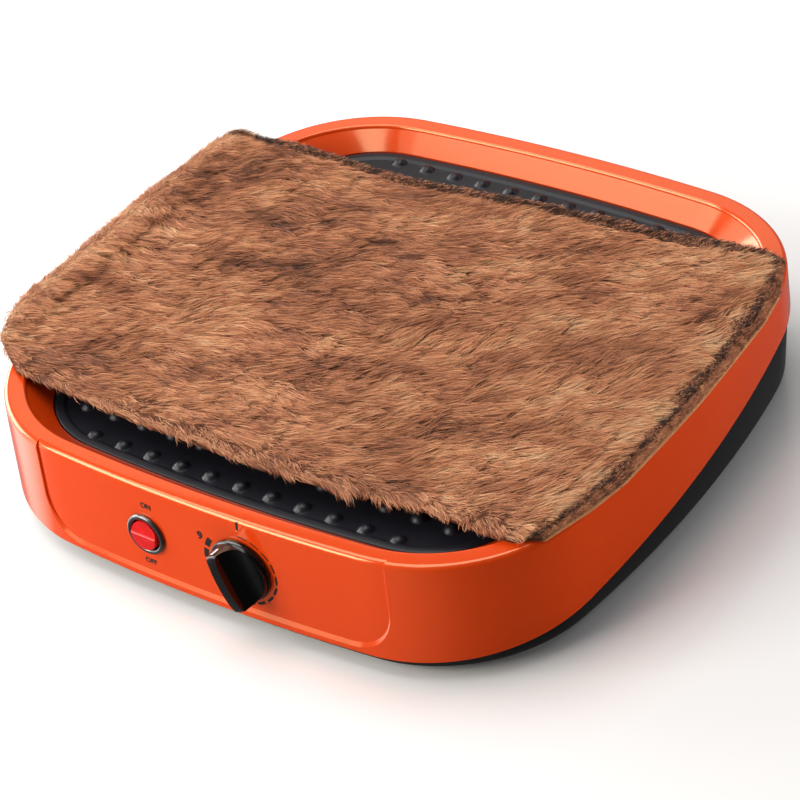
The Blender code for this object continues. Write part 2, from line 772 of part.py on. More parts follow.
def make_top_shell():
    """The moulded shell: outer wall, rolled rim, sloping well side and plate ledge."""
    rings = [shell_ring(0, part_line)]
    for inward, down in quarter_round(RIM_FILLET):
        rings.append(flat_ring(body_outline(inward), RIM_Z - down))
    for inward, down in reversed(quarter_round(WELL_FILLET)):
        rings.append(flat_ring(body_outline(RIM_BAND - inward), RIM_Z - down))
    rings += [
        flat_ring(plate_outline(-PLATE_GAP), LIP_Z),
        flat_ring(plate_outline(-PLATE_GAP), LEDGE_Z),
        flat_ring(plate_outline(OPENING_INSET), LEDGE_Z),
        flat_ring(plate_outline(OPENING_INSET), LEDGE_UNDER_Z),
        flat_ring(plate_outline(-PLATE_GAP), LEDGE_UNDER_Z),
        flat_ring(plate_outline(-PLATE_GAP - SHELL_WALL), LEDGE_Z),
        flat_ring(body_outline(RIM_BAND), RIM_Z - SHELL_WALL),
        flat_ring(body_outline(SHELL_WALL), RIM_Z - SHELL_WALL),
        shell_ring(SHELL_WALL, part_line),
    ]
    shell = loft("top_shell", rings, "orange_plastic", closed=True)
    boolean(shell, make_panel_cutter())
    for name, mount, radius in (
        ("switch_hole", SWITCH, BARREL_RADIUS + SEAT),
        ("bush_hole", DIAL, BUSH_RADIUS + SEAT),
    ):
        hole = pegs(name, [(0, 0)], radius, -SHELL_WALL - OVERRUN, OVERRUN, sides=16, parent=mount)
        boolean(shell, hole)
    flange_seat = pegs(
        "flange_seat",
        [(0, 0)],
        BUSH_FLANGE_RADIUS + SEAT,
        -SHELL_WALL - OVERRUN,
        -PANEL_BACK,
        sides=16,
        parent=DIAL,
    )
    boolean(shell, flange_seat)
    post_top = RIM_Z - SHELL_POST_DROP
    rib_top = RIM_Z - RIB_DROP
    rib_length = POST_INSET - RIB_INSET
    for i, place in enumerate(POSTS):
        joint = post_joint_z(place)
        boolean(
            shell,
            pegs(f"shell_post_{i}", [place], SHELL_POST_RADIUS, joint, post_top, sides=8),
            "UNION",
        )
        outward = place.normalized()
        middle = place + outward * rib_length / 2
        rib_foot = joint + TONGUE_HEIGHT
        rib = add_box(
            f"shell_rib_{i}",
            (rib_length, RIB_THICKNESS, rib_top - rib_foot),
            (middle.x, middle.y, (rib_top + rib_foot) / 2),
            None,
        )
        rib.rotation_euler.z = math.atan2(outward.y, outward.x)
        boolean(shell, rib, "UNION")
    depth = SCREW_LENGTH - SCREW_SEAT_DEPTH + OVERRUN
    for i, place in enumerate(POSTS):
        joint = post_joint_z(place)
        low, high = joint - OVERRUN, joint + depth
        boolean(shell, pegs(f"shell_pilot_{i}", [place], SCREW_RADIUS + SEAT, low, high, sides=8))
    return shell


def make_base_tray():
    """The lower tray: flat floor, leaning wall, and a tongue that locates the shell."""
    rings = []
    for inward, up in reversed(quarter_round(BASE_FILLET)):
        rings.append(base_ring(BASE_SETBACK + inward, level(BASE_Z + up)))
    tongue = SHELL_WALL + TONGUE_GAP
    inner = BASE_SETBACK + BASE_WALL
    rings += [
        base_ring(BASE_SETBACK, line_up(-SEAT)),
        shell_ring(tongue, line_up(-SEAT)),
        shell_ring(tongue, line_up(TONGUE_HEIGHT)),
        shell_ring(tongue + TONGUE_WALL, line_up(TONGUE_HEIGHT)),
        shell_ring(tongue + TONGUE_WALL, line_up(-SEAT)),
        base_ring(inner, line_up(-SEAT - BASE_WALL)),
        base_ring(inner, level(FLOOR_Z)),
    ]
    tray = loft("base_tray", rings, "black_plastic")
    below = BASE_Z - OVERRUN
    for i, place in enumerate(POSTS):
        joint = post_joint_z(place) - SEAT
        foot = FLOOR_Z - BITE
        post = pegs(f"tray_post_{i}", [place], TRAY_POST_RADIUS, foot, joint, sides=8)
        boolean(tray, post, "UNION")
    for i, place in enumerate(POSTS):
        joint = post_joint_z(place) - SEAT
        seat = joint - SCREW_SEAT_DEPTH
        pocket = pegs(
            f"head_pocket_{i}", [place], SCREW_HEAD_RADIUS + SEAT, below, seat, sides=8
        )
        boolean(tray, pocket)
        shank = pegs(
            f"shank_hole_{i}", [place], SCREW_RADIUS + SEAT, below, joint + OVERRUN, sides=8
        )
        boolean(tray, shank)
    foot_hole = FOOT_NECK_RADIUS + SEAT
    boolean(tray, pegs("foot_holes", FEET, foot_hole, below, FLOOR_Z + OVERRUN))
    gland_hole = pegs(
        "gland_hole",
        [(0, 0)],
        GLAND_NECK_RADIUS + SEAT,
        -BASE_WALL - OVERRUN,
        OVERRUN,
        parent=GLAND,
    )
    boolean(tray, gland_hole)
    for i in range(2 * SLOT_COUNT):
        x = SLOT_PITCH * (i // 2 - (SLOT_COUNT - 1) / 2)
        y = SLOT_ROW_Y * (2 * (i % 2) - 1)
        size = (SLOT_WIDTH, SLOT_LENGTH, 2 * BASE_WALL + OVERRUN)
        boolean(tray, add_box(f"air_slot_{i}", size, (x, y, BASE_Z), None))
    return tray


def stud_places():
    """The square grid of studs, whose first and last rows lose a stud at each end."""
    places = []
    for row in range(STUD_ROWS):
        skip = STUD_END_ROW_LOSS if row in (0, STUD_ROWS - 1) else 0
        for column in range(skip, STUD_COLUMNS - skip):
            places.append((STUD_LEFT + column * STUD_STEP_X, STUD_FRONT + row * STUD_STEP_Y))
    return places


def make_foot_plate():
    """The pressed plate: raised lip round the edge, a field of studs, and four bosses."""
    slope_end = PLATE_LIP_WIDTH + PLATE_LIP_SLOPE
    rings = [
        flat_ring(plate_outline(slope_end), PLATE_UNDER_Z),
        flat_ring(plate_outline(PLATE_LIP_WIDTH), LIP_UNDER_Z),
        flat_ring(plate_outline(0), LIP_UNDER_Z),
    ]
    for inward, down in quarter_round(PLATE_EDGE_FILLET):
        rings.append(flat_ring(plate_outline(inward), LIP_Z - down))
    rings += [
        flat_ring(plate_outline(PLATE_LIP_WIDTH), LIP_Z),
        flat_ring(plate_outline(slope_end), PLATE_Z),
    ]
    plate = loft("foot_plate", rings, "plate_coating")
    taper = (STUD_RADIUS - STUD_TOP_RADIUS) / STUD_HEIGHT
    studs = bmesh.new()
    for x, y in stud_places():
        bmesh.ops.create_cone(
            studs,
            cap_ends=True,
            segments=STUD_SIDES,
            radius1=STUD_RADIUS + taper * BITE,
            radius2=STUD_TOP_RADIUS,
            depth=STUD_HEIGHT + BITE,
            matrix=Matrix.Translation((x, y, PLATE_Z + (STUD_HEIGHT - BITE) / 2)),
        )
    boolean(plate, add_mesh("plate_studs", studs, None), "UNION")
    foot = PAN_Z + SEAT
    bosses = pegs("plate_bosses", PLATE_BOSSES, PLATE_BOSS_RADIUS, foot, PLATE_UNDER_Z + BITE)
    boolean(plate, bosses, "UNION")
    pilot_radius = PLATE_SCREW_RADIUS + SEAT
    pilot_top = PLATE_UNDER_Z - SEAT
    pilots = pegs(
        "plate_pilots", PLATE_BOSSES, pilot_radius, foot - OVERRUN, pilot_top, sides=8
    )
    return boolean(plate, pilots)


def element_ends():
    """Where the element's two tails end, above the holes for their leads."""
    x = -ELEMENT_HALF_RUN - ELEMENT_TAIL
    return [(x, ELEMENT_FRONT), (x, -ELEMENT_FRONT)]


def element_path():
    """Straight runs joined by half circles, front to back, with a short tail at each end."""
    radius = ELEMENT_PITCH / 2
    first, last = element_ends()
    points = [Vector((*first, ELEMENT_Z)), Vector((-ELEMENT_HALF_RUN, first[1], ELEMENT_Z))]
    for run in range(ELEMENT_RUNS - 1):
        side = -1 if run % 2 else 1
        y = first[1] + run * ELEMENT_PITCH
        for step in range(ELEMENT_TURN_STEPS + 1):
            angle = math.pi * step / ELEMENT_TURN_STEPS
            across = side * (ELEMENT_HALF_RUN + radius * math.sin(angle))
            points.append(Vector((across, y + radius * (1 - math.cos(angle)), ELEMENT_Z)))
    points += [Vector((-ELEMENT_HALF_RUN, last[1], ELEMENT_Z)), Vector((*last, ELEMENT_Z))]
    return points


def make_heating_pack():
    """Seal, foil, element, felt and pan, stacked up under the plate."""
    seal_foot = LEDGE_Z + SEAT
    seal_top = seal_foot + SEAL_THICKNESS
    outer, inner = plate_outline(0), plate_outline(SEAL_WIDTH)
    seal_rings = [
        flat_ring(outer, seal_foot),
        flat_ring(outer, seal_top),
        flat_ring(inner, seal_top),
        flat_ring(inner, seal_foot),
    ]
    loft("plate_seal", seal_rings, "seal_rubber", closed=True)

    boss_hole = PLATE_BOSS_RADIUS + SEAT
    ends = element_ends()
    low, high = PAN_UNDER_Z - OVERRUN, PLATE_Z
    pack = plate_outline(PACK_INSET, hidden=True)
    foil_rings = [flat_ring(pack, FOIL_Z), flat_ring(pack, FOIL_Z + FOIL_THICKNESS)]
    foil = loft("heat_spreader_foil", foil_rings, "foil")
    boolean(foil, pegs("foil_holes", PLATE_BOSSES, boss_hole, low, high))

    tube("heating_element", element_path(), ELEMENT_RADIUS, "element_sleeve")

    felt_rings = [flat_ring(pack, FELT_TOP_Z - FELT_THICKNESS), flat_ring(pack, FELT_TOP_Z)]
    felt = loft("insulation_felt", felt_rings, "felt")
    boolean(felt, pegs("felt_holes", PLATE_BOSSES, boss_hole, low, high))
    boolean(felt, pegs("felt_lead_holes", ends, LEAD_HOLE_RADIUS, low, high))

    outside = plate_outline(PAN_INSET, hidden=True)
    inside = plate_outline(PAN_INSET + PAN_WALL, hidden=True)
    flange = plate_outline(PAN_INSET - PAN_FLANGE, hidden=True)
    pan_rings = [
        flat_ring(outside, PAN_UNDER_Z),
        flat_ring(outside, FLANGE_Z - PAN_WALL),
        flat_ring(flange, FLANGE_Z - PAN_WALL),
        flat_ring(flange, FLANGE_Z),
        flat_ring(inside, FLANGE_Z),
        flat_ring(inside, PAN_Z),
    ]
    pan = loft("reflector_pan", pan_rings, "steel")
    screw_hole = PLATE_SCREW_RADIUS + SEAT
    boolean(pan, pegs("pan_screw_holes", PLATE_BOSSES, screw_hole, low, high, sides=8))
    boolean(pan, pegs("pan_lead_holes", ends, LEAD_HOLE_RADIUS, low, high))


def make_screw(name, radius, head_radius, head, length, place, seat_z):
    """A screw that points up, its head under the seat, with a drive socket below."""
    shoulder = seat_z - SEAT
    low = shoulder - head
    tip = shoulder + length
    profile = [
        (0, tip),
        (radius, tip - radius),
        (radius, shoulder),
        (head_radius, shoulder),
        (head_radius, low),
        (SOCKET_RADIUS, low),
        (SOCKET_RADIUS, low + SOCKET_DEPTH),
        (0, low + SOCKET_DEPTH),
    ]
    return turned(name, profile, "steel", steps=8, place=(place[0], place[1], 0))


def make_fasteners():
    """Four screws that clamp the pan to the plate, and six that hold tray and shell."""
    for i, place in enumerate(PLATE_BOSSES, 1):
        make_screw(
            f"plate_screw_{i}",
            PLATE_SCREW_RADIUS,
            PLATE_SCREW_HEAD_RADIUS,
            PLATE_SCREW_HEAD,
            PLATE_SCREW_LENGTH,
            place,
            PAN_UNDER_Z,
        )
    for i, place in enumerate(POSTS, 1):
        make_screw(
            f"base_screw_{i}",
            SCREW_RADIUS,
            SCREW_HEAD_RADIUS,
            SCREW_HEAD,
            SCREW_LENGTH,
            place,
            post_joint_z(place) - SEAT - SCREW_SEAT_DEPTH,
        )


def make_feet():
    """Soft feet whose heads snap through the floor."""
    neck_top = FLOOR_Z + SEAT
    pad_top = BASE_Z - SEAT
    profile = [
        (0, neck_top + FOOT_HEAD),
        (FOOT_NECK_RADIUS, neck_top + FOOT_HEAD),
        (FOOT_HEAD_RADIUS, neck_top),
        (FOOT_NECK_RADIUS, neck_top),
        (FOOT_NECK_RADIUS, pad_top),
        (FOOT_RADIUS, pad_top),
        (FOOT_RADIUS, FOOT_FILLET),
        (FOOT_RADIUS - FOOT_FILLET, 0),
        (0, 0),
    ]
    for i, place in enumerate(FEET, 1):
        turned(f"rubber_foot_{i}", profile, "rubber", steps=12, place=(place[0], place[1], 0))


def make_switch():
    """Snap-in body, rocker on its pins, lamp behind it and three blades at the back."""
    face = SEAT + BEZEL_THICKNESS
    profile = [(SWITCH_WELL_RADIUS, face)]
    for inward, down in reversed(quarter_round(BEZEL_FILLET)):
        profile.append((BEZEL_RADIUS - inward, face - down))
    profile += [
        (BEZEL_RADIUS, SEAT),
        (BARREL_RADIUS, SEAT),
        (BARREL_RADIUS, -BARREL_LENGTH),
        (0, -BARREL_LENGTH),
        (0, -SWITCH_WELL_DEPTH),
        (SWITCH_WELL_RADIUS, -SWITCH_WELL_DEPTH),
    ]
    switch = turned("switch_body", profile, "bezel_gloss", steps=20, parent=SWITCH)
    pivot = (0, 0, ROCKER_PIVOT_RISE)
    reach = ROCKER_PIN_REACH + SEAT
    boolean(
        switch,
        cross_peg("rocker_pin_hole", ROCKER_PIN_RADIUS + SEAT, reach, pivot, None, SWITCH),
    )
    rest = Matrix.Translation(pivot) @ Matrix.Rotation(-ROCKER_THROW / 2, 4, "X")
    make_rocker(add_empty("rocker_axis", rest, SWITCH))
    lamp_place = (0, 0, -SWITCH_WELL_DEPTH + SEAT + LAMP_RADIUS)
    cross_peg("switch_lamp", LAMP_RADIUS, LAMP_LENGTH / 2, lamp_place, "lamp_glass", SWITCH)
    for i in range(3):
        y = BLADE_PITCH * (i - 1)
        centre_z = BLADE_END + BLADE_LENGTH / 2
        size = (BLADE_WIDTH, BLADE_THICKNESS, BLADE_LENGTH)
        add_box(f"switch_blade_{i + 1}", size, (0, y, centre_z), "brass", SWITCH)
        pocket = (BLADE_WIDTH + 2 * SEAT, BLADE_THICKNESS + 2 * SEAT, BLADE_LENGTH)
        cutter = add_box(f"blade_pocket_{i}", pocket, (0, y, centre_z + SEAT), None, SWITCH)
        boolean(switch, cutter)


def make_rocker(axis):
    """A ball cut flat behind and to a shallow ridge in front, with a pin at each end."""
    shape = bmesh.new()
    bmesh.ops.create_uvsphere(shape, u_segments=16, v_segments=10, radius=ROCKER_RADIUS)
    turn = Matrix.Rotation(math.pi / 2, 3, "Y")
    bmesh.ops.rotate(shape, verts=shape.verts[:], matrix=turn)
    rocker = add_mesh("switch_rocker", shape, "rocker_red", axis)
    reach = 2 * ROCKER_RADIUS
    block = (2 * reach, 2 * reach, reach)
    back = add_box("rocker_back_cut", block, (0, 0, -ROCKER_BACK - reach / 2), None, axis)
    boolean(rocker, back)
    for name, side in (("rocker_lower_cut", -1), ("rocker_upper_cut", 1)):
        face = add_box(name, block, (0, 0, 0), None, axis)
        tilt = Matrix.Rotation(-side * ROCKER_FACE_ANGLE, 4, "X")
        lift = Matrix.Translation((0, 0, ROCKER_RIDGE))
        face.matrix_local = lift @ tilt @ Matrix.Translation((0, 0, reach / 2))
        boolean(rocker, face)
    pins = cross_peg("rocker_pins", ROCKER_PIN_RADIUS, ROCKER_PIN_REACH, (0, 0, 0), None, axis)
    return boolean(rocker, pins, "UNION")


def d_peg(name, radius, flat, low, high, finish, parent):
    """A round bar along the local Z axis, with a flat on one side of its outer end."""
    bar = pegs(name, [(0, 0)], radius, low, high, finish, parent=parent)
    width = 4 * radius
    length = high - BUSH_REACH
    centre = (0, radius - flat + width / 2, BUSH_REACH + length)
    cut = add_box(name + "_flat", (width, width, 2 * length), centre, None, parent)
    return boolean(bar, cut)


def make_thermostat():
    """Control body, threaded bush and nut that hold it to the panel, and its shaft."""
    centre_z = THERMOSTAT_FRONT - THERMOSTAT_DEPTH / 2
    size = (THERMOSTAT_WIDTH, THERMOSTAT_HEIGHT, THERMOSTAT_DEPTH)
    body = add_box(
        "thermostat_body", size, (0, 0, centre_z), "ceramic", DIAL, bevel=THERMOSTAT_BEVEL
    )
    shaft_foot = THERMOSTAT_FRONT - SHAFT_IN_BODY
    bore = SHAFT_RADIUS + SEAT
    boolean(body, pegs("shaft_bore", [(0, 0)], bore, shaft_foot - SEAT, 0, parent=DIAL))
    profile = [
        (bore, BUSH_REACH),
        (BUSH_RADIUS, BUSH_REACH),
        (BUSH_RADIUS, BUSH_SEAT),
        (BUSH_FLANGE_RADIUS, BUSH_SEAT),
        (BUSH_FLANGE_RADIUS, BUSH_SEAT - BUSH_FLANGE),
        (bore, BUSH_SEAT - BUSH_FLANGE),
    ]
    turned("thermostat_bush", profile, "brass", steps=12, parent=DIAL)
    nut_radius = NUT_ACROSS / 2 / math.cos(math.pi / 6)
    nut_top = SEAT + NUT_THICKNESS
    nut = pegs("thermostat_nut", [(0, 0)], nut_radius, SEAT, nut_top, "steel", 6, DIAL)
    boolean(nut, pegs("nut_bore", [(0, 0)], BUSH_RADIUS + SEAT, -SEAT, NUT_ACROSS, parent=DIAL))
    tab_y = -THERMOSTAT_HEIGHT / 2 + TAB_POCKET - TAB_LENGTH / 2
    for i, side in enumerate((-1, 1), 1):
        x = side * TAB_PITCH / 2
        tab = (TAB_WIDTH, TAB_LENGTH, TAB_THICKNESS)
        add_box(f"thermostat_tab_{i}", tab, (x, tab_y, centre_z), "brass", DIAL)
        pocket = (TAB_WIDTH + 2 * SEAT, TAB_LENGTH, TAB_THICKNESS + 2 * SEAT)
        place = (x, tab_y + SEAT, centre_z)
        boolean(body, add_box(f"tab_pocket_{i}", pocket, place, None, DIAL))
    axis = add_empty("knob_axis", Matrix.Rotation(KNOB_REST_ANGLE, 4, "Z"), DIAL)
    d_peg("thermostat_shaft", SHAFT_RADIUS, SHAFT_FLAT, shaft_foot, SHAFT_REACH, "steel", axis)
    make_knob(axis)


def stadium(half_length, half_width, z):
    """Two half circles joined by straight sides, long along Y."""
    centre = half_length - half_width
    points = []
    for side in (1, -1):
        for step in range(GRIP_END_STEPS + 1):
            angle = math.pi * step / GRIP_END_STEPS
            x = side * half_width * math.cos(angle)
            y = side * (centre + half_width * math.sin(angle))
            points.append(Vector((x, y, z)))
    return points


def make_knob(axis):
    """The knob: a hollow skirt, and a tall bar that swells out to the skirt's face."""
    ceiling = KNOB_FACE - KNOB_WALL
    profile = [(0, KNOB_FACE)]
    for inward, down in reversed(quarter_round(KNOB_FILLET)):
        profile.append((KNOB_FACE_RADIUS - inward, KNOB_FACE - down))
    profile += [
        (KNOB_RADIUS, KNOB_LIFT),
        (KNOB_RADIUS - KNOB_WALL, KNOB_LIFT),
        (KNOB_FACE_RADIUS - KNOB_WALL, ceiling),
        (0, ceiling),
    ]
    knob = turned("control_knob", profile, "knob_gloss", steps=28, parent=axis)
    rings = []
    for rise, flare in zip(GRIP_LEVEL_SHARES, GRIP_FLARE_SHARES):
        trim = GRIP_FILLET if rise == 1 else 0
        half_width = (GRIP_WIDTH + flare * (GRIP_ROOT_WIDTH - GRIP_WIDTH)) / 2 - trim
        z = KNOB_FACE + rise * GRIP_HEIGHT
        rings.append(stadium(GRIP_LENGTH / 2 - trim, half_width, z))
    boolean(knob, loft("knob_grip", rings, None, parent=axis), "UNION")
    socket = d_peg(
        "shaft_socket", SHAFT_RADIUS + SEAT, SHAFT_FLAT, 0, SHAFT_REACH + SEAT, None, axis
    )
    return boolean(knob, socket)


def make_thermal_cutout():
    """Disc cut-out against the pan's underside, held by a bent clip."""
    top = PAN_UNDER_Z - SEAT
    shoulder = top - CUTOUT_CAP
    foot = shoulder - CUTOUT_HEIGHT
    profile = [
        (0, top),
        (CUTOUT_CAP_RADIUS, top),
        (CUTOUT_CAP_RADIUS, shoulder),
        (CUTOUT_RADIUS, shoulder),
        (CUTOUT_RADIUS, foot),
        (0, foot),
    ]
    turned("thermal_cutout", profile, "ceramic", steps=12, place=(CUTOUT_X, CUTOUT_Y, 0))
    inner = CUTOUT_RADIUS + SEAT
    outer = inner + CLIP_THICKNESS
    reach = outer + CLIP_FOOT
    under = foot - SEAT
    right = [
        (outer, under - CLIP_THICKNESS),
        (outer, top - CLIP_THICKNESS),
        (reach, top - CLIP_THICKNESS),
        (reach, top),
        (inner, top),
        (inner, under),
    ]
    clip = slab("cutout_clip", right + [(-x, z) for x, z in reversed(right)], CLIP_WIDTH, "steel")
    clip.location = (CUTOUT_X, CUTOUT_Y, 0)
    clip.rotation_euler.x = math.pi / 2


def pole_x(i):
    return GLAND_X + BLOCK_POLE_PITCH * (i - 1)


def make_cord_entry():
    """Cord gland in the back wall and the terminal block inside it."""
    face = SEAT + GLAND_FLANGE
    inner_face = -BASE_WALL - SEAT
    profile = [
        (GLAND_BORE_RADIUS, face + GLAND_NOSE),
        (GLAND_NECK_RADIUS, face + GLAND_NOSE),
        (GLAND_FLANGE_RADIUS, face),
        (GLAND_FLANGE_RADIUS, SEAT),
        (GLAND_NECK_RADIUS, SEAT),
        (GLAND_NECK_RADIUS, inner_face),
        (GLAND_CLIP_RADIUS, inner_face),
        (GLAND_NECK_RADIUS, inner_face - GLAND_CLIP),
        (GLAND_BORE_RADIUS, inner_face - GLAND_CLIP),
    ]
    turned("cord_gland", profile, "rubber", steps=12, parent=GLAND)
    size = (2 * BLOCK_POLE_PITCH + BLOCK_POLE_WIDTH, BLOCK_DEPTH, BLOCK_BASE)
    place = (GLAND_X, BLOCK_Y, BLOCK_FOOT_Z + BLOCK_BASE / 2)
    block = add_box("terminal_block", size, place, "white_nylon")
    rise = BLOCK_HEIGHT - BLOCK_BASE + BITE
    middle = BLOCK_FOOT_Z + BLOCK_HEIGHT - rise / 2
    for i in range(3):
        pole = (BLOCK_POLE_WIDTH, BLOCK_DEPTH - BITE, rise)
        place = (pole_x(i), BLOCK_Y, middle)
        boolean(block, add_box(f"block_pole_{i}", pole, place, None), "UNION")
    for i in range(3):
        hole = pegs(
            f"block_hole_{i}", [(0, 0)], BLOCK_HOLE_RADIUS, -BLOCK_DEPTH, BLOCK_DEPTH, sides=8
        )
        hole.location = (pole_x(i), BLOCK_Y, BLOCK_HOLE_Z)
        hole.rotation_euler.x = math.pi / 2
        boolean(block, hole)


def lead_routes():
    """The wires' routes, by name, from block to switch, thermostat, cut-out and element."""
    lay = FLOOR_Z + LEAD_LAY
    climb = FLOOR_Z + LEAD_CLIMB
    block_front = BLOCK_Y - BLOCK_DEPTH / 2
    poles = [Vector((pole_x(i), block_front + BLOCK_GRIP, BLOCK_HOLE_Z)) for i in range(3)]
    blade_y = [BLADE_PITCH * (i - 1) for i in range(3)]
    blades = [place_in(SWITCH, 0, y, BLADE_END - SEAT) for y in blade_y]
    stubs = [place_in(SWITCH, 0, y, BLADE_END - LEAD_BEND) for y in blade_y]
    tab_foot = -THERMOSTAT_HEIGHT / 2 + TAB_POCKET - TAB_LENGTH - SEAT
    tab_depth = THERMOSTAT_FRONT - THERMOSTAT_DEPTH / 2
    tabs = [place_in(DIAL, side * TAB_PITCH / 2, tab_foot, tab_depth) for side in (-1, 1)]
    ends = [Vector((x, y, ELEMENT_Z - ELEMENT_RADIUS - SEAT)) for x, y in element_ends()]
    cutout_z = PAN_UNDER_Z - SEAT - CUTOUT_CAP - CUTOUT_HEIGHT / 2
    gap = CUTOUT_RADIUS + SEAT
    cutout = [Vector((CUTOUT_X, CUTOUT_Y + side * gap, cutout_z)) for side in (-1, 1)]
    back = Vector((0, LEAD_BEND, 0))
    down = Vector((0, 0, -LEAD_BEND))

    def at(x_share, y_share, z):
        return Vector((x_share * HALF_WIDTH, y_share * HALF_DEPTH, z))

    return {
        "live_lead": [
            poles[1],
            poles[1] - back * 3,
            at(-0.40, 0.25, lay),
            at(-0.32, -0.40, lay),
            at(-0.24, -0.72, climb),
            stubs[0],
            blades[0],
        ],
        "lamp_lead": [
            poles[2],
            poles[2] - back * 3,
            at(-0.34, 0.25, lay),
            at(-0.24, -0.40, lay),
            at(-0.13, -0.76, climb),
            stubs[2],
            blades[2],
        ],
        "switched_lead": [
            blades[1],
            stubs[1],
            at(-0.06, -0.87, climb),
            tabs[0] + down,
            tabs[0],
        ],
        "cutout_lead": [
            tabs[1],
            tabs[1] + down,
            at(0.22, -0.76, lay),
            at(0.23, -0.50, climb),
            cutout[0] - back,
            cutout[0],
        ],
        "element_lead": [
            cutout[1],
            cutout[1] + back,
            at(0.10, -0.12, climb),
            at(-0.40, -0.44, climb),
            ends[0] + down * 5,
            ends[0] + down * 2,
            ends[0],
        ],
        "return_lead": [
            ends[1],
            ends[1] + down * 2,
            ends[1] + down * 5,
            at(-0.56, 0.54, lay),
            poles[0] - back * 3,
            poles[0],
        ],
    }


def make_leads():
    for name, route in lead_routes().items():
        finish = "blue_wire" if name in ("return_lead", "lamp_lead") else "brown_wire"
        tube(name, flowing(route), LEAD_RADIUS, finish)


def make_fur_cover():
    """The cover's plain solid: a pad with the fur's outline, lying on the rim."""
    corners = []
    for x_share, y_share, radius_share in COVER_CORNER_SHARES:
        corner = Vector((x_share * COVER_WIDTH / 2, y_share * COVER_DEPTH / 2))
        corners.append((corner, radius_share * COVER_DEPTH))
    points = []
    for i, (corner, radius) in enumerate(corners):
        before, after = corners[i - 1][0], corners[(i + 1) % len(corners)][0]
        points += round_corner(before, corner, after, radius, COVER_STEPS)
    cover = slab("fur_cover", points, COVER_THICKNESS, "fur")
    cover.location = (COVER_SHIFT_X, COVER_SHIFT_Y, RIM_Z + SEAT + COVER_THICKNESS / 2)
    rounding = cover.modifiers.new("edge", "BEVEL")
    rounding.width = COVER_ROUNDING
    rounding.segments = 1
    return cover


make_top_shell()
make_base_tray()
make_foot_plate()
make_heating_pack()
make_fasteners()
make_feet()
make_switch()
make_thermostat()
make_thermal_cutout()
make_cord_entry()
make_leads()
make_fur_cover()
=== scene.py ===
# %% [markdown]
# # Dressing an electric foot warmer
# A foot warmer is a shallow tub: an orange moulded shell over a black tray, with a warm
# studded plate sunk between its rims, and a fur cover laid on top for bare feet.
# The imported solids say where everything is. They are plain, so this lesson builds finer
# skins over the visible ones and leaves the working parts as they are.

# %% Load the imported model
import math

import bmesh
import bpy
import numpy as np
from mathutils import Matrix, Vector


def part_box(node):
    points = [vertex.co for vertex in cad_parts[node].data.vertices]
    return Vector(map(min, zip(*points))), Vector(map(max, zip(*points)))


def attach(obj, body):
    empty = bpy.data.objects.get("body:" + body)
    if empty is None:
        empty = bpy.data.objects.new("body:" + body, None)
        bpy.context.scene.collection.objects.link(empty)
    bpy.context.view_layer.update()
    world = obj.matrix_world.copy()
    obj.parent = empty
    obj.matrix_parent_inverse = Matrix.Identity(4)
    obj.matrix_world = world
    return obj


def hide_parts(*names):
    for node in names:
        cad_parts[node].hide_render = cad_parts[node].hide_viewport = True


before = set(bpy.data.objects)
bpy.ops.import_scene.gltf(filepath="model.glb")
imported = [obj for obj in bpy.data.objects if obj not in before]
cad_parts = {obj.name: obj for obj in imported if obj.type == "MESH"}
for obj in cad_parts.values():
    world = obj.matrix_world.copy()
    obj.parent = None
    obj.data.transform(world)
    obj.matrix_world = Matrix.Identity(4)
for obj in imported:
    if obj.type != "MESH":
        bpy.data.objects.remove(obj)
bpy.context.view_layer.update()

# %% [markdown]
# ## Where things are
# The plate is symmetrical both ways, so the middle of its box is the middle of the
# heater. Heights come from the boxes of the pieces that carry them. Sizes that no box
# tells, such as the radius of a corner, are written down here once, in metres.

# %% Places and sizes
plate_low, plate_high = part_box("foot_plate")
_, shell_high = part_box("top_shell")
tray_low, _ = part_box("base_tray")
cover_low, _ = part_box("fur_cover")
MIDDLE = Vector(((plate_low.x + plate_high.x) / 2, (plate_low.y + plate_high.y) / 2, 0))
RIM_Z = shell_high.z
BASE_Z = tray_low.z
PLATE_Z = RIM_Z - 0.012
LIP_Z = PLATE_Z + 0.0012
LEDGE_Z = PLATE_Z - 0.0026
BODY_HEIGHT = RIM_Z - BASE_Z
FLARE = 0.002
WALL = 0.003
PART_FRONT, PART_BACK = BASE_Z + 0.0072, BASE_Z + 0.0445
HALF_WIDTH, HALF_DEPTH = 0.176, 0.1735
SIDE_RADIUS, END_RADIUS = 0.661, 1.128
FOOT_SPOT = 0.118
CORNERS = ((-1, -1), (1, -1), (1, 1), (-1, 1))
CONTROL_Z = RIM_Z - 0.0295
RECESS = 0.0012
print("middle:", [round(x, 5) for x in MIDDLE])
print("rim:", round(RIM_Z, 4), "plate:", round(PLATE_Z, 4))


# %% New objects and meshes
def linked(name, data):
    obj = bpy.data.objects.new(name, data)
    bpy.context.scene.collection.objects.link(obj)
    return obj


def mesh_of(name, shape):
    """The mesh of a shape, which is freed."""
    data = bpy.data.meshes.new(name)
    shape.to_mesh(data)
    shape.free()
    return data


# %% [markdown]
# ## The camera
# The photograph looks down on the front right corner from about 37 degrees. The numbers
# were worked out from the grid of studs, which is square and level on the real thing.

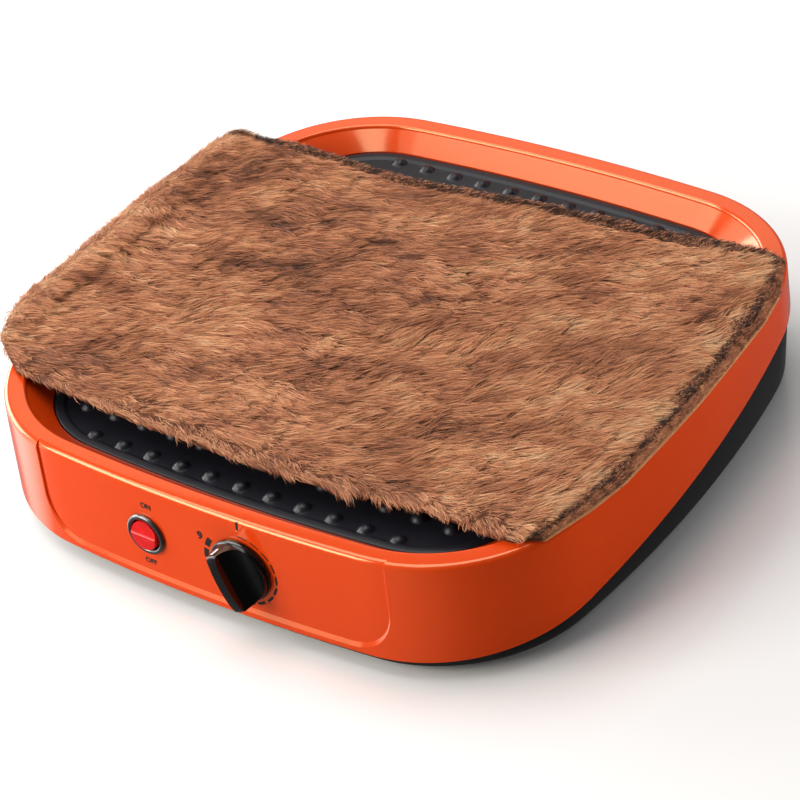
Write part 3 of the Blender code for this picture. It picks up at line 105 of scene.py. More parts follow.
# %% Camera
FOCAL_PIXELS, PICTURE_PIXELS, SENSOR = 2715.85, 800, 36
eye = MIDDLE + Vector((0.7151, -0.8990, PLATE_Z + 0.8127))
axes = Matrix(
    (
        (0.82512, -0.25952, 0.50182),
        (0.55348, 0.54947, -0.62589),
        (-0.11331, 0.79418, 0.59702),
    )
)
camera = linked("camera", bpy.data.cameras.new("camera"))
camera.matrix_world = Matrix.Translation(eye) @ axes.to_4x4()
camera.data.sensor_width = SENSOR
camera.data.lens = FOCAL_PIXELS / PICTURE_PIXELS * SENSOR
bpy.context.scene.camera = camera
bpy.context.scene.view_settings.view_transform = "Standard"
print("camera is", round((eye - MIDDLE).length, 3), "m from the heater")

# %% [markdown]
# ## Light
# Product photographs of glossy plastic are lit by large white panels. A panel makes a
# long, soft reflection, and its edge draws the bright line along the rim.


# %% A flat panel of light
def light_panel(name, place, target, width, height, power, colour=(1, 1, 1)):
    lamp = bpy.data.lights.new(name, "AREA")
    lamp.shape = "RECTANGLE"
    lamp.size, lamp.size_y = width, height
    lamp.energy = power
    lamp.color = colour
    obj = linked(name, lamp)
    obj.location = place
    obj.rotation_euler = (Vector(target) - Vector(place)).to_track_quat("-Z", "Y").to_euler()


light_panel("overhead", (-0.35, 0.1, 1.6), (0, 0, 0), 1.4, 1.2, 16)
light_panel("left_front", (-0.98, -1.32, 0.90), (0, 0, 0.03), 1.15, 1.0, 30, (1, 0.95, 0.87))
light_panel("bevel_glow", (-0.80, -1.38, 0.31), (0, 0, 0.03), 1.0, 0.26, 1.2, (1, 0.95, 0.87))
light_panel("slope_core", (-1.2, -0.62, 1.6), (0, 0, 0.05), 0.45, 0.6, 1.5)
light_panel("slope_fringe", (-1.05, -0.64, 1.62), (0, 0, 0.05), 0.75, 0.8, 1.6)
light_panel("far_side", (-1.0, 1.75, 1.3), (0, 0, 0.05), 1.8, 0.8, 3.6, (1, 0.90, 0.72))
light_panel("right_back", (0.95, 1.2, 1.15), (0, 0, 0.05), 0.8, 0.6, 2.4)
light_panel("right_low", (1.25, 1.2, 0.17), (0.1, 0, 0.04), 1.0, 0.28, 17)
light_panel("left_low", (-1.5, 0.0, 0.42), (0, 0, 0.04), 1.2, 0.8, 16)

# %% [markdown]
# ## Shader sums
# A finish is easier to read as a sum than as a web of nodes. `Amount` wraps one socket, so
# that `1 - mask` or `0.3 + 0.1 * grain` adds the Math nodes by itself. Every other kind of
# node comes from `Finish.node`, which takes its settings first and then its inputs.


# %% Shader helpers
def set_stops(ramp, stops):
    while len(ramp.elements) < len(stops):
        ramp.elements.new(1)
    for element, (place, colour) in zip(ramp.elements, stops):
        element.position = place
        element.color = (*colour, 1)


class Amount:
    """One output socket, on which ordinary arithmetic works."""

    def __init__(self, finish, socket):
        self.finish = finish
        self.socket = socket

    def sum(self, operation, *values):
        inputs = dict(enumerate(values))
        return self.finish.node("ShaderNodeMath", {"operation": operation}, inputs)

    def __add__(self, other):
        return self.sum("ADD", self, other)

    def __rsub__(self, other):
        return self.sum("SUBTRACT", other, self)

    def __mul__(self, other):
        return self.sum("MULTIPLY", self, other)

    __radd__ = __add__
    __rmul__ = __mul__


class Finish:
    """A material and its Principled shader. Constants go straight on the shader's sockets."""

    def __init__(self, name, **constants):
        self.material = bpy.data.materials.new(name)
        self.material.use_nodes = True
        self.tree = self.material.node_tree
        self.shader = self.tree.nodes["Principled BSDF"]
        for socket, value in constants.items():
            self.shader.inputs[socket.replace("_", " ")].default_value = value

    def node(self, kind, settings=None, inputs=None, output=0):
        made = self.tree.nodes.new(kind)
        for key, value in (settings or {}).items():
            if key == "stops":
                set_stops(made.color_ramp, value)
            else:
                setattr(made, key, value)
        for key, value in (inputs or {}).items():
            if isinstance(value, Amount):
                self.tree.links.new(value.socket, made.inputs[key])
            else:
                made.inputs[key].default_value = value
        return Amount(self, made.outputs[output])

    def feed(self, socket, amount):
        self.tree.links.new(amount.socket, self.shader.inputs[socket])

    def place(self, stretch=(1, 1, 1)):
        spot = self.node("ShaderNodeTexCoord", output="Object")
        return self.node("ShaderNodeMapping", None, {"Vector": spot, "Scale": stretch})

    def cloud(self, scale, detail=3, roughness=0.5, where=None):
        inputs = {"Vector": where or self.place(), "Scale": scale, "Detail": detail}
        inputs["Roughness"] = roughness
        return self.node("ShaderNodeTexNoise", None, inputs)

    def blend(self, factor, first, second):
        ends = [c if isinstance(c, Amount) else (*c, 1) for c in (first, second)]
        inputs = {0: factor, 6: ends[0], 7: ends[1]}
        return self.node("ShaderNodeMix", {"data_type": "RGBA"}, inputs, 2)

    def bump(self, height, distance, strength=1.0):
        inputs = {"Height": height, "Distance": distance, "Strength": strength}
        self.feed("Normal", self.node("ShaderNodeBump", None, inputs))


# %% [markdown]
# ## The finishes
# Moulded plastic is never quite even. Its colour drifts a little with the flow of the melt,
# the gloss varies with handling, and the surface has a faint orange-peel ripple. Each
# finish below has these at the size they have on the real thing.


# %% Moulded and coated finishes
def moulded(name, dark, light, gloss, ripple, grain=700.0, drift=9.0, **constants):
    """Plastic or rubber: slow colour drift, uneven gloss, and a fine ripple."""
    finish = Finish(name, **constants)
    slow = finish.cloud(drift, 2)
    fine = finish.cloud(grain, 2)
    finish.feed("Base Color", finish.blend(slow, dark, light))
    finish.feed("Roughness", gloss + 0.10 * slow * fine)
    finish.bump(fine, ripple)
    return finish.material


def metal(name, dark, light, gloss, stretch=(60, 900, 900)):
    """Drawn or pressed metal: long fine scratches along one way."""
    finish = Finish(name, Metallic=1.0)
    streaks = finish.cloud(1, 2, where=finish.place(stretch))
    finish.feed("Base Color", finish.blend(streaks, dark, light))
    finish.feed("Roughness", gloss + 0.2 * streaks)
    finish.bump(streaks, 0.00003)
    return finish.material


ORANGE = moulded(
    "orange_plastic", (0.67, 0.046, 0.003), (0.77, 0.062, 0.005), 0.07, 0.000012,
    grain=260, IOR=2.0, Specular_Tint=(1.0, 0.74, 0.42, 1.0),
)
BLACK = moulded(
    "black_plastic", (0.003, 0.003, 0.003), (0.006, 0.006, 0.007), 0.40, 0.00004, grain=2200,
    Specular_IOR_Level=0.15,
)
KNOB_BLACK = moulded(
    "knob_gloss", (0.0010, 0.0010, 0.0012), (0.0022, 0.0022, 0.0025), 0.12, 0.000006,
    grain=500, Specular_IOR_Level=0.45, Coat_Weight=0.2, Coat_Roughness=0.30,
)
BEZEL = moulded(
    "bezel_gloss", (0.008, 0.008, 0.009), (0.014, 0.014, 0.015), 0.16, 0.000006, grain=500,
    Coat_Weight=0.9, Coat_IOR=2.0, Coat_Roughness=0.27,
)
RUBBER = moulded("rubber", (0.012, 0.012, 0.012), (0.028, 0.027, 0.026), 0.70, 0.00006, grain=1500)
SEAL = moulded("seal_rubber", (0.05, 0.010, 0.008), (0.11, 0.02, 0.015), 0.65, 0.00005)
CERAMIC = moulded("ceramic", (0.62, 0.59, 0.52), (0.80, 0.77, 0.70), 0.35, 0.00002)
NYLON = moulded("white_nylon", (0.72, 0.71, 0.67), (0.85, 0.84, 0.80), 0.40, 0.00001)
SLEEVE = moulded("element_sleeve", (0.42, 0.03, 0.025), (0.62, 0.07, 0.05), 0.40, 0.00003)
BROWN_WIRE = moulded("brown_wire", (0.10, 0.035, 0.015), (0.18, 0.07, 0.03), 0.40, 0.00001)
BLUE_WIRE = moulded("blue_wire", (0.02, 0.06, 0.26), (0.04, 0.11, 0.40), 0.40, 0.00001)
LAMP = moulded("lamp_glass", (0.80, 0.30, 0.15), (0.95, 0.50, 0.30), 0.08, 0.00001)
FELT = moulded("felt", (0.55, 0.52, 0.42), (0.80, 0.77, 0.68), 0.80, 0.0004, grain=1200, drift=60)
PRINT = moulded("print_ink", (0.008, 0.007, 0.007), (0.016, 0.014, 0.014), 0.45, 0.00001)
POINTER = moulded("pointer_ink", (0.62, 0.60, 0.58), (0.80, 0.78, 0.76), 0.40, 0.00001)
STEEL = metal("steel", (0.42, 0.43, 0.45), (0.62, 0.63, 0.65), 0.22)
BRASS = metal("brass", (0.55, 0.36, 0.13), (0.78, 0.56, 0.25), 0.20)
FOIL = metal("foil", (0.62, 0.62, 0.63), (0.88, 0.88, 0.88), 0.15, (500, 500, 500))
print("finishes:", len(bpy.data.materials))

# %% [markdown]
# The plate has a baked satin coat. Up close it is a dark blue-grey with a fine sparkle of
# lighter grains, and its gloss varies a little from place to place.

# %% Plate coat and rocker lens
coat = Finish("plate_coating", Specular_IOR_Level=0.35)
sparkle = coat.node("ShaderNodeTexVoronoi", None, {"Vector": coat.place(), "Scale": 1500.0})
haze = coat.cloud(14, 3)
coat.feed("Base Color", coat.blend(haze, (0.006, 0.006, 0.009), (0.014, 0.014, 0.020)))
coat.feed("Roughness", 0.25 + 0.13 * haze + 0.08 * sparkle)
coat.bump(sparkle, 0.00002, 0.7)
COATING = coat.material

lens = Finish("rocker_red", Coat_Weight=0.3, Coat_Roughness=0.03, Emission_Strength=0.04)
depth = lens.cloud(160, 2)
lens.feed("Base Color", lens.blend(depth, (0.42, 0.002, 0.003), (0.78, 0.008, 0.009)))
lens.feed("Emission Color", lens.blend(depth, (0.35, 0.0, 0.0), (1.0, 0.03, 0.02)))
lens.feed("Roughness", 0.08 + 0.08 * depth)
lens.bump(depth, 0.00002)
LENS = lens.material
print("coat and lens ready")

# %% [markdown]
# ## Sweeping a section round the body
# Seen from above, the body is four slow arcs joined by four round corners. A round of
# this kind needs no list of points: a section is drawn once at the right-hand side, and
# `spin` carries it about the centre of each arc in turn. A point further in simply turns
# on a smaller radius, so every wall keeps its thickness all the way round.


# %% The sweep
class Track:
    """Centres and angles of the arcs that a section is spun about."""

    def __init__(self, half_x, half_y, corner):
        self.half_x = half_x
        side, end = SIDE_RADIUS, END_RADIUS
        self.right, self.back = Vector((half_x - side, 0)), Vector((0, half_y - end))
        to_side, to_end = side - corner, end - corner
        line = self.back - self.right
        along = (to_side**2 - to_end**2 + line.length_squared) / (2 * line.length)
        across = math.sqrt(to_side**2 - along**2)
        ahead = line.normalized()
        self.corner = self.right + ahead * along + Vector((-ahead.y, ahead.x)) * across
        self.side_angle = math.atan2(self.corner.y, self.corner.x - self.right.x)
        self.end_angle = math.atan2(self.corner.y - self.back.y, self.corner.x)

    def arcs(self):
        """(centre, angle, steps) for each arc, anticlockwise from the right-hand side."""
        side, turn = self.side_angle, self.end_angle - self.side_angle
        end = math.pi / 2 - self.end_angle
        x, y = self.corner
        return (
            (self.right, side, 16), ((x, y), turn, 32), (self.back, 2 * end, 72),
            ((-x, y), turn, 32), (-self.right, 2 * side, 32), ((-x, -y), turn, 32),
            (-self.back, 2 * end, 72), ((x, -y), turn, 32), (self.right, side, 16),
        )


def sweep(shape, track, section, closed=False):
    """Spins a section of (inset, height) points round the track."""
    chain = [shape.verts.new((track.half_x - inset, 0, z)) for inset, z in section]
    links = [shape.edges.new(pair) for pair in zip(chain, chain[1:])]
    if closed:
        links.append(shape.edges.new((chain[-1], chain[0])))
    geometry = chain + links
    for centre, angle, steps in track.arcs():
        turned = bmesh.ops.spin(
            shape, geom=geometry, cent=(*centre, 0), axis=(0, 0, 1), angle=angle, steps=steps
        )
        geometry = turned["geom_last"]
    bmesh.ops.remove_doubles(shape, verts=shape.verts[:], dist=0.000005)


BODY = Track(HALF_WIDTH, HALF_DEPTH, 0.084)
PLATE = Track(0.1475, 0.1503, 0.0532)
print("corner centre:", [round(x, 4) for x in BODY.corner])


# %% [markdown]
# ## Finishing a mesh
# Each skin ends the same way: faces turned outwards, smooth shading with sharp edges kept,
# its place baked into its mesh, and a body to ride on.


# %% Helpers for every piece
def finished(name, shape, finish, body, replaces=(), sharp=30, place=None):
    bmesh.ops.recalc_face_normals(shape, faces=shape.faces[:])
    bmesh.ops.transform(
        shape, matrix=Matrix.Translation(MIDDLE) @ (place or Matrix()), verts=shape.verts[:]
    )
    data = mesh_of(name, shape)
    data.shade_smooth()
    data.set_sharp_from_angle(angle=math.radians(sharp))
    data.materials.append(finish)
    obj = linked(name, data)
    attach(obj, body)
    if replaces:
        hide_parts(*replaces)
    print(name, "faces:", len(data.polygons))
    return obj


def scratch_object(name, shape):
    """A helper that is only cut with, and removed afterwards."""
    bmesh.ops.recalc_face_normals(shape, faces=shape.faces[:])
    return linked(name, mesh_of(name, shape))


def combined(shape, tools, operation="DIFFERENCE"):
    """Cuts the tools from a shape, or joins or crosses them, and returns the new shape."""
    target = scratch_object("target", shape)
    for tool in tools:
        modifier = target.modifiers.new(tool.name, "BOOLEAN")
        modifier.operation, modifier.object, modifier.solver = operation, tool, "EXACT"
    graph = bpy.context.evaluated_depsgraph_get()
    result = bmesh.new()
    result.from_mesh(target.evaluated_get(graph).to_mesh())
    for obj in (target, *tools):
        bpy.data.objects.remove(obj, do_unlink=True)
    return result


def drill(shape, radius, depth, place, segments=32):
    """Adds a capped cylinder, centred on a place and along its Z."""
    bmesh.ops.create_cone(
        shape, cap_ends=True, segments=segments, radius1=radius, radius2=radius,
        depth=depth, matrix=place,
    )


def thicken(shape, faces, move):
    """Extrudes flat faces into a closed slab."""
    made = bmesh.ops.extrude_face_region(shape, geom=faces, use_keep_orig=True)
    moved = [g for g in made["geom"] if isinstance(g, bmesh.types.BMVert)]
    bmesh.ops.translate(shape, verts=moved, vec=move)


def spun(profile, steps=56):
    """A profile of (radius, height) spun once about Z. Its ends lie on the axis or join."""
    shape = bmesh.new()
    points = [shape.verts.new((radius, 0, height)) for radius, height in profile]
    links = [shape.edges.new(pair) for pair in zip(points, points[1:])]
    if profile[0][0] > 0:
        links.append(shape.edges.new((points[-1], points[0])))
    bmesh.ops.spin(
        shape, geom=points + links, cent=(0, 0, 0), axis=(0, 0, 1), angle=2 * math.pi,
        steps=steps, use_merge=True,
    )
    bmesh.ops.remove_doubles(shape, verts=shape.verts[:], dist=0.00001)
    return shape


def soften(obj, width, segments, angle):
    """Rounds the edges that turn by more than an angle in degrees."""
    bevel = obj.modifiers.new("soft_edges", "BEVEL")
    bevel.width, bevel.segments, bevel.limit_method = width, segments, "ANGLE"
    bevel.angle_limit = math.radians(angle)


def rounded(radius, steps=5):
    """Pairs of (inward, down) for a rounded edge, from its side up to its top."""
    angles = [math.pi / 2 * step / steps for step in range(steps + 1)]
    return [(radius * (1 - math.cos(a)), radius * (1 - math.sin(a))) for a in angles]


def part_line(y):
    return PART_FRONT + (PART_BACK - PART_FRONT) * (y + HALF_DEPTH) / (2 * HALF_DEPTH)


def lean(z):
    """How far the wall stands out beyond the rim at a height."""
    return FLARE * (RIM_Z - z) / BODY_HEIGHT


def edge_loop(shape, height, slack=0.0004):
    """Open edges at one height."""
    return [
        e for e in shape.edges
        if e.is_boundary and all(abs(v.co.z - height) < slack for v in e.verts)
    ]


# %% [markdown]
# ## The shell
# The shell is one moulding: a wall that leans out a little, a rolled rim, a sloping side
# down to the plate, and a ledge that carries it. Its outer section is spun round the body
# track and its ledge round the plate's own track, and `bridge_loops` closes the slope
# between the two. A slanted plane then cuts the foot, because the joint with the tray
# climbs from the front to the back.

# %% Shell body
BAND = 0.012
low_z = BASE_Z
section = [(BAND, RIM_Z - WALL), (WALL, RIM_Z - WALL), (WALL - lean(low_z), low_z)]
section += [(-lean(low_z), low_z), (-lean(RIM_Z / 2), RIM_Z / 2)]
section += [(inward, RIM_Z - down) for inward, down in rounded(0.003, 6)]
section += [(BAND - inward, RIM_Z - down) for inward, down in reversed(rounded(0.002, 5))]
shell = bmesh.new()
sweep(shell, BODY, section)
slope = (PART_BACK - PART_FRONT) / (2 * HALF_DEPTH)
bmesh.ops.bisect_plane(
    shell,
    geom=shell.verts[:] + shell.edges[:] + shell.faces[:],
    plane_co=(0, -HALF_DEPTH, PART_FRONT),
    plane_no=(0, -slope, 1),
    clear_inner=True,
)
foot = [
    e for e in shell.edges
    if e.is_boundary and all(abs(v.co.z - part_line(v.co.y)) < 0.0004 for v in e.verts)
]
bmesh.ops.bridge_loops(shell, edges=foot)
GAP = 0.0008
inner = [(-GAP, LIP_Z), (-GAP, LEDGE_Z), (0.0082, LEDGE_Z), (0.0082, LEDGE_Z - WALL)]
inner += [(-GAP, LEDGE_Z - WALL), (-GAP - WALL, LEDGE_Z)]
ledge = bmesh.new()
sweep(ledge, PLATE, inner)
shell.from_mesh(mesh_of("ledge", ledge))
for rim_height, plate_height in ((RIM_Z - 0.002, LIP_Z), (RIM_Z - WALL, LEDGE_Z)):
    pair = edge_loop(shell, rim_height) + edge_loop(shell, plate_height)
    bmesh.ops.bridge_loops(shell, edges=pair)
print("open edges left:", sum(e.is_boundary for e in shell.edges))

# %% [markdown]
# ## The recessed panel
# The controls sit in a panel that is sunk 1.2 mm, with a soft bevel all round that catches
# the light as one long line. The cutter is the part of a thin skin in front of the panel
# that also lies inside the panel's outline, and that outline widens outwards to make the
# bevel.

# %% Panel cutter
PANEL_HALF, BEVEL, PANEL_CORNER = 0.107, 0.0022, 0.025


def front_wall_y(x, grow):
    return HALF_DEPTH - END_RADIUS + math.sqrt((END_RADIUS + grow) ** 2 - x**2)


def panel_outline(grow, steps=14, spans=16):
    radius, middle = PANEL_CORNER + grow, PANEL_HALF - PANEL_CORNER
    centre_z = PART_FRONT + 0.0028 + PANEL_CORNER
    shares = [2 * i / spans - 1 for i in range(1, spans)]
    angles = [math.pi / 2 * i / steps for i in range(steps + 1)]
    left = [(-middle - radius * math.cos(a), centre_z - radius * math.sin(a)) for a in angles]
    right = [(-x, z) for x, z in reversed(left)]
    top_z, half = RIM_Z + 0.002, PANEL_HALF + grow
    top = [(half, top_z)] + [(-s * half, top_z) for s in shares] + [(-half, top_z)]
    return left + [(s * middle, centre_z - radius) for s in shares] + right + top


layer = bmesh.new()
skin = [(RECESS - lean(low_z), low_z)]
skin += [(RECESS + inward, RIM_Z - down) for inward, down in rounded(0.003, 6)]
skin += [(RECESS + 0.003, RIM_Z + 0.003), (-BAND, RIM_Z + 0.003), (-BAND, low_z)]
sweep(layer, BODY, skin, closed=True)
face = bmesh.new()
bevel_slope = BEVEL / RECESS
inner_line = panel_outline(-BEVEL)
outer_line = panel_outline(bevel_slope * 0.002)
rings = [[face.verts.new((x, -HALF_DEPTH + BAND, z)) for x, z in inner_line]]
for line, depth in ((inner_line, RECESS), (outer_line, -0.002)):
    rings.append(
        [face.verts.new((x, depth - front_wall_y(x, lean(z)), z)) for x, z in line]
    )
rings.append([face.verts.new((x, -HALF_DEPTH - 2 * BAND, z)) for x, z in outer_line])
loops = [[face.edges.new((a, b)) for a, b in zip(r, r[1:] + r[:1])] for r in rings]
for first, second in zip(loops, loops[1:]):
    bmesh.ops.bridge_loops(face, edges=first + second)
for loop in (loops[0], loops[-1]):
    bmesh.ops.contextual_create(face, geom=loop)
cutter = scratch_object("panel_cut", combined(layer, [scratch_object("face", face)], "INTERSECT"))
print("panel cutter faces:", len(cutter.data.polygons))


# %% Places on the panel
def on_panel(x):
    """A frame on the panel's face: X to the right, Y up, and Z straight out."""
    grow = lean(CONTROL_Z) - RECESS
    swing = math.asin(x / (END_RADIUS + grow))
    turn = Matrix.Rotation(swing, 4, "Z")
    turn = turn @ Matrix.Rotation(math.pi / 2 - math.atan(FLARE / BODY_HEIGHT), 4, "X")
    return Matrix.Translation((x, -front_wall_y(x, grow), CONTROL_Z)) @ turn


SWITCH_X, KNOB_X = -0.036, 0.0225
SWITCH, DIAL = on_panel(SWITCH_X), on_panel(KNOB_X)
holes = []
for frame_on_panel, radius in ((SWITCH, 0.0106), (DIAL, 0.0050)):
    hole = bmesh.new()
    drill(hole, radius, 0.012, frame_on_panel)
    holes.append(scratch_object("hole", hole))
shell = combined(shell, [cutter, *holes])
shell_skin = finished(
    "shell_skin", shell, ORANGE, "housing", ["top_shell"], sharp=20
)
smoothing = shell_skin.modifiers.new("even_shading", "WEIGHTED_NORMAL")
smoothing.keep_sharp = True

# %% [markdown]
# ## The tray
# The tray below is drawn in towards the floor, most of all at the front, where it is only
# a few millimetres tall. Its wall is spun straight, then each ring is moved in and down to
# its share of the height, which differs from front to back as the joint climbs.

# %% Tray
SETBACK, DRAFT, TRAY_WALL, SEAT = 0.0012, 0.0038, 0.0025, 0.0003
VENTS, HOLE_RADIUS = 14, 0.0033
tray = bmesh.new()
wall_angles = (0.0, 0.4, 0.8, 1.2, math.pi / 2)
wall_points = [(0.004 * (1 - math.sin(a)), 0.004 * (1 - math.cos(a))) for a in wall_angles]
section = [(SETBACK + i, BASE_Z + up) for i, up in wall_points]
section += [(SETBACK, BASE_Z + 1), (SETBACK + TRAY_WALL, BASE_Z + 1)]
section += [(SETBACK + TRAY_WALL, BASE_Z + TRAY_WALL)]
sweep(tray, BODY, section)
for vert in tray.verts:
    outward = Vector((vert.co.x, vert.co.y, 0)).normalized()
    top = part_line(vert.co.y) - SEAT
    vert.co.z = min(vert.co.z, top)
    share = (top - vert.co.z) / (top - BASE_Z)
    move = lean(top) * (1 - share) + (FLARE - DRAFT) * share
    vert.co += outward * move
for height in (BASE_Z, BASE_Z + TRAY_WALL):
    bmesh.ops.contextual_create(tray, geom=edge_loop(tray, height))
cuts = bmesh.new()
for i in range(VENTS):
    spot = (0.012 * (i // 2 - 3), 0.075 * (2 * (i % 2) - 1), BASE_Z)
    bmesh.ops.create_cube(
        cuts, size=1, matrix=Matrix.Translation(spot) @ Matrix.Diagonal((0.004, 0.026, 0.012, 1))
    )
bmesh.ops.bevel(
    cuts, geom=[e for e in cuts.edges if abs(e.verts[0].co.z - e.verts[1].co.z) > 0.005],
    affect="EDGES", offset=0.0019, offset_type="OFFSET", segments=4, profile=0.5, material=-1,
)
for name in sorted(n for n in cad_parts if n.startswith("base_screw")):
    low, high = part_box(name)
    spot = (low + high) / 2 - MIDDLE
    depth = low.z + 0.0023 - BASE_Z
    drill(cuts, HOLE_RADIUS, 2 * depth, Matrix.Translation((spot.x, spot.y, BASE_Z)), 24)
for x, y in CORNERS:
    spot = (FOOT_SPOT * x, FOOT_SPOT * y, BASE_Z)
    drill(cuts, HOLE_RADIUS, 0.02, Matrix.Translation(spot), 20)
out = Vector((-0.06208, 0.99658, -0.05454))
GLAND = Matrix.Translation((-0.070, 0.169251, 0.020))
GLAND = GLAND @ out.to_track_quat("Z", "Y").to_matrix().to_4x4()
drill(cuts, 0.0058, 0.012, GLAND)
tray = combined(tray, [scratch_object("tray_cuts", cuts)])
finished("tray_skin", tray, BLACK, "housing", ["base_tray"], sharp=25)

# %% [markdown]
# ## The foot plate
# The plate is pressed from sheet, with a lip round its edge and 204 low round studs that
# massage the feet. One stud is a short profile spun once, with few faces, because it is
# copied so often. The copies gather in a mesh of their own, where new points always come
# last. The grid is square, and its first and last rows are two studs shorter.

# %% Plate with its studs
SHEET, PITCH = 0.002, 0.0185
plate = bmesh.new()
lip = [(0.0065, PLATE_Z - SHEET), (0.0045, LIP_Z - SHEET), (0, LIP_Z - SHEET)]
lip += [(inward, LIP_Z - down) for inward, down in rounded(0.0008, 4)]
lip += [(0.0040, LIP_Z), (0.0048, LIP_Z - 0.0002), (0.0058, PLATE_Z + 0.0002), (0.0066, PLATE_Z)]
sweep(plate, PLATE, lip)
for height in (PLATE_Z - SHEET, PLATE_Z):
    bmesh.ops.contextual_create(plate, geom=edge_loop(plate, height, 0.0001))
dome = ((0.0, 2.60), (1.3, 2.45), (2.5, 1.95), (3.5, 1.05), (4.15, 0.30), (4.7, 0.0), (4.9, -0.1))
stud = mesh_of("stud", spun([(r * 0.001, z * 0.001) for r, z in dome], 14))
studs = bmesh.new()
stud_count = 0
for row in range(16):
    for column in range(1 if row in (0, 15) else 0, 12 if row in (0, 15) else 13):
        before = len(studs.verts)
        studs.from_mesh(stud)
        studs.verts.ensure_lookup_table()
        spot = (PITCH * (column - 6), PITCH * (row - 7.5), PLATE_Z)
        bmesh.ops.translate(studs, verts=studs.verts[before:], vec=spot)
        stud_count += 1
plate.from_mesh(mesh_of("stud_field", studs))
finished("plate_skin", plate, COATING, "housing", ["foot_plate"], sharp=40)
print("studs:", stud_count)

# %% [markdown]
# ## The rocker switch
# A snap-in switch has a round bezel, rolled at its edge, round a red lens that rocks. The
# bezel is a profile spun once. The lens starts as a ball: one plane cuts away its back and
# two more leave shallow faces that meet in a ridge, and a wide drum hollows the upper one.

# %% Bezel and lens
bezel = [(0.0, -0.008), (0.0086, -0.008), (0.0088, 0.0002)]
bezel += [(0.0102 + 0.0014 * math.cos(a), 0.0006 + 0.0014 * math.sin(a))
          for a in (math.radians(170 - 17 * i) for i in range(11))]
bezel += [(0.0116, 0.0003), (0.0103, 0.0003), (0.0103, -0.014), (0.0, -0.014)]
finished(
    "switch_bezel", spun(bezel), BEZEL, "housing", ["switch_body"],
    place=SWITCH, sharp=35,
)
ball = bmesh.new()
bmesh.ops.create_uvsphere(ball, u_segments=48, v_segments=32, radius=0.0081)
bmesh.ops.rotate(ball, verts=ball.verts[:], matrix=Matrix.Rotation(math.pi / 2, 3, "Y"))
planes = [((0, 0, -0.0032), (0, 0, -1))]
slant = math.radians(8)
for side in (-1, 1):
    planes.append(((0, 0.0004, 0.0029), (0, side * math.sin(slant), math.cos(slant))))
for spot, facing in planes:
    bmesh.ops.bisect_plane(
        ball, geom=ball.verts[:] + ball.edges[:] + ball.faces[:], plane_co=spot,
        plane_no=facing, clear_outer=True,
    )
    bmesh.ops.holes_fill(ball, edges=[e for e in ball.edges if e.is_boundary], sides=0)
hollow = bmesh.new()
crosswise = Matrix.Translation((0, 0.0042, 0.0114)) @ Matrix.Rotation(math.pi / 2, 4, "Y")
drill(hollow, 0.0095, 0.03, crosswise, 120)
ball = combined(ball, [scratch_object("hollow", hollow)])
pivot = SWITCH @ Matrix.Translation((0, 0, 0.0005)) @ Matrix.Rotation(-math.radians(7), 4, "X")
rocker_lens = finished(
    "rocker_lens", ball, LENS, "rocker", ["switch_rocker"], place=pivot, sharp=24
)
soften(rocker_lens, 0.00035, 3, 18)

# %% [markdown]
# ## The knob
# An oven-style knob starts as a plain round boss on a skirt. Two round cutters that run
# along it scoop out its sides and leave the bar that fingers grip. A low cone, scooped to
# match, makes the lip where the scoops rise again towards the edge.

# %% Knob
KNOB_TOP = 0.0159


def scoop_pair(outline):
    """Two prisms along the knob, one on each side, from an outline of (across, out)."""
    pair = []
    for side in (-1, 1):
        scoop = bmesh.new()
        front = [scoop.verts.new((side * x, -0.025, z)) for x, z in outline]
        thicken(scoop, [scoop.faces.new(front)], (0, 0.05, 0))
        pair.append(scratch_object("scoop", scoop))
    return pair


hollow_arc = [
    (0.0150 + 0.0123 * math.cos(a), 0.0158 + 0.0123 * math.sin(a))
    for a in (math.radians(180 + 5 * i) for i in range(15))
]
profile = [(0.0, KNOB_TOP), (0.004, KNOB_TOP - 0.0001), (0.008, KNOB_TOP - 0.0004)]
profile += [(0.012, KNOB_TOP - 0.0010), (0.0147, KNOB_TOP - 0.0018)]
profile += [(0.0161 - i, KNOB_TOP - 0.0020 - d) for i, d in reversed(rounded(0.0012, 5))][1:]
profile += [(0.0164, 0.0042), (0.0167, 0.0030), (0.0170, 0.0024), (0.0175, 0.0021)]
profile += [(0.0175, 0.0006), (0.0158, 0.0006), (0.0150, 0.0034), (0.0, 0.0034)]
bar = hollow_arc + [(0.026, 0.0040), (0.026, 0.018), (hollow_arc[0][0], 0.018)]
knob = combined(spun(profile, 96), scoop_pair(bar))
cone = [(0.0, 0.0085), (0.0080, 0.0076), (0.0110, 0.0066), (0.0140, 0.0053), (0.0156, 0.0045)]
cone += [(0.0163, 0.0038), (0.0165, 0.0030), (0.0, 0.0030)]
cup = hollow_arc + [(hollow_arc[-1][0] + 0.0008, 0.0056), (0.0119, 0.018)]
cup += [(hollow_arc[0][0], 0.018)]
lip_ring = combined(spun(cone, 96), scoop_pair(cup))
knob = combined(knob, [scratch_object("lip_ring", lip_ring)], "UNION")
KNOB_AXIS = DIAL @ Matrix.Rotation(math.radians(24), 4, "Z")
knob_skin = finished(
    "knob_skin", knob, KNOB_BLACK, "knob", ["control_knob"],
    place=KNOB_AXIS, sharp=38,
)
soften(knob_skin, 0.0004, 2, 38)
pointer = bmesh.new()
tilt = Matrix.Translation((0, 0.0164, 0.0096)) @ Matrix.Rotation(math.radians(-3.2), 4, "X")
bmesh.ops.create_cube(pointer, size=1, matrix=tilt @ Matrix.Diagonal((0.0017, 0.0002, 0.0052, 1)))
finished("pointer_line", pointer, POINTER, "knob", place=KNOB_AXIS, sharp=30)

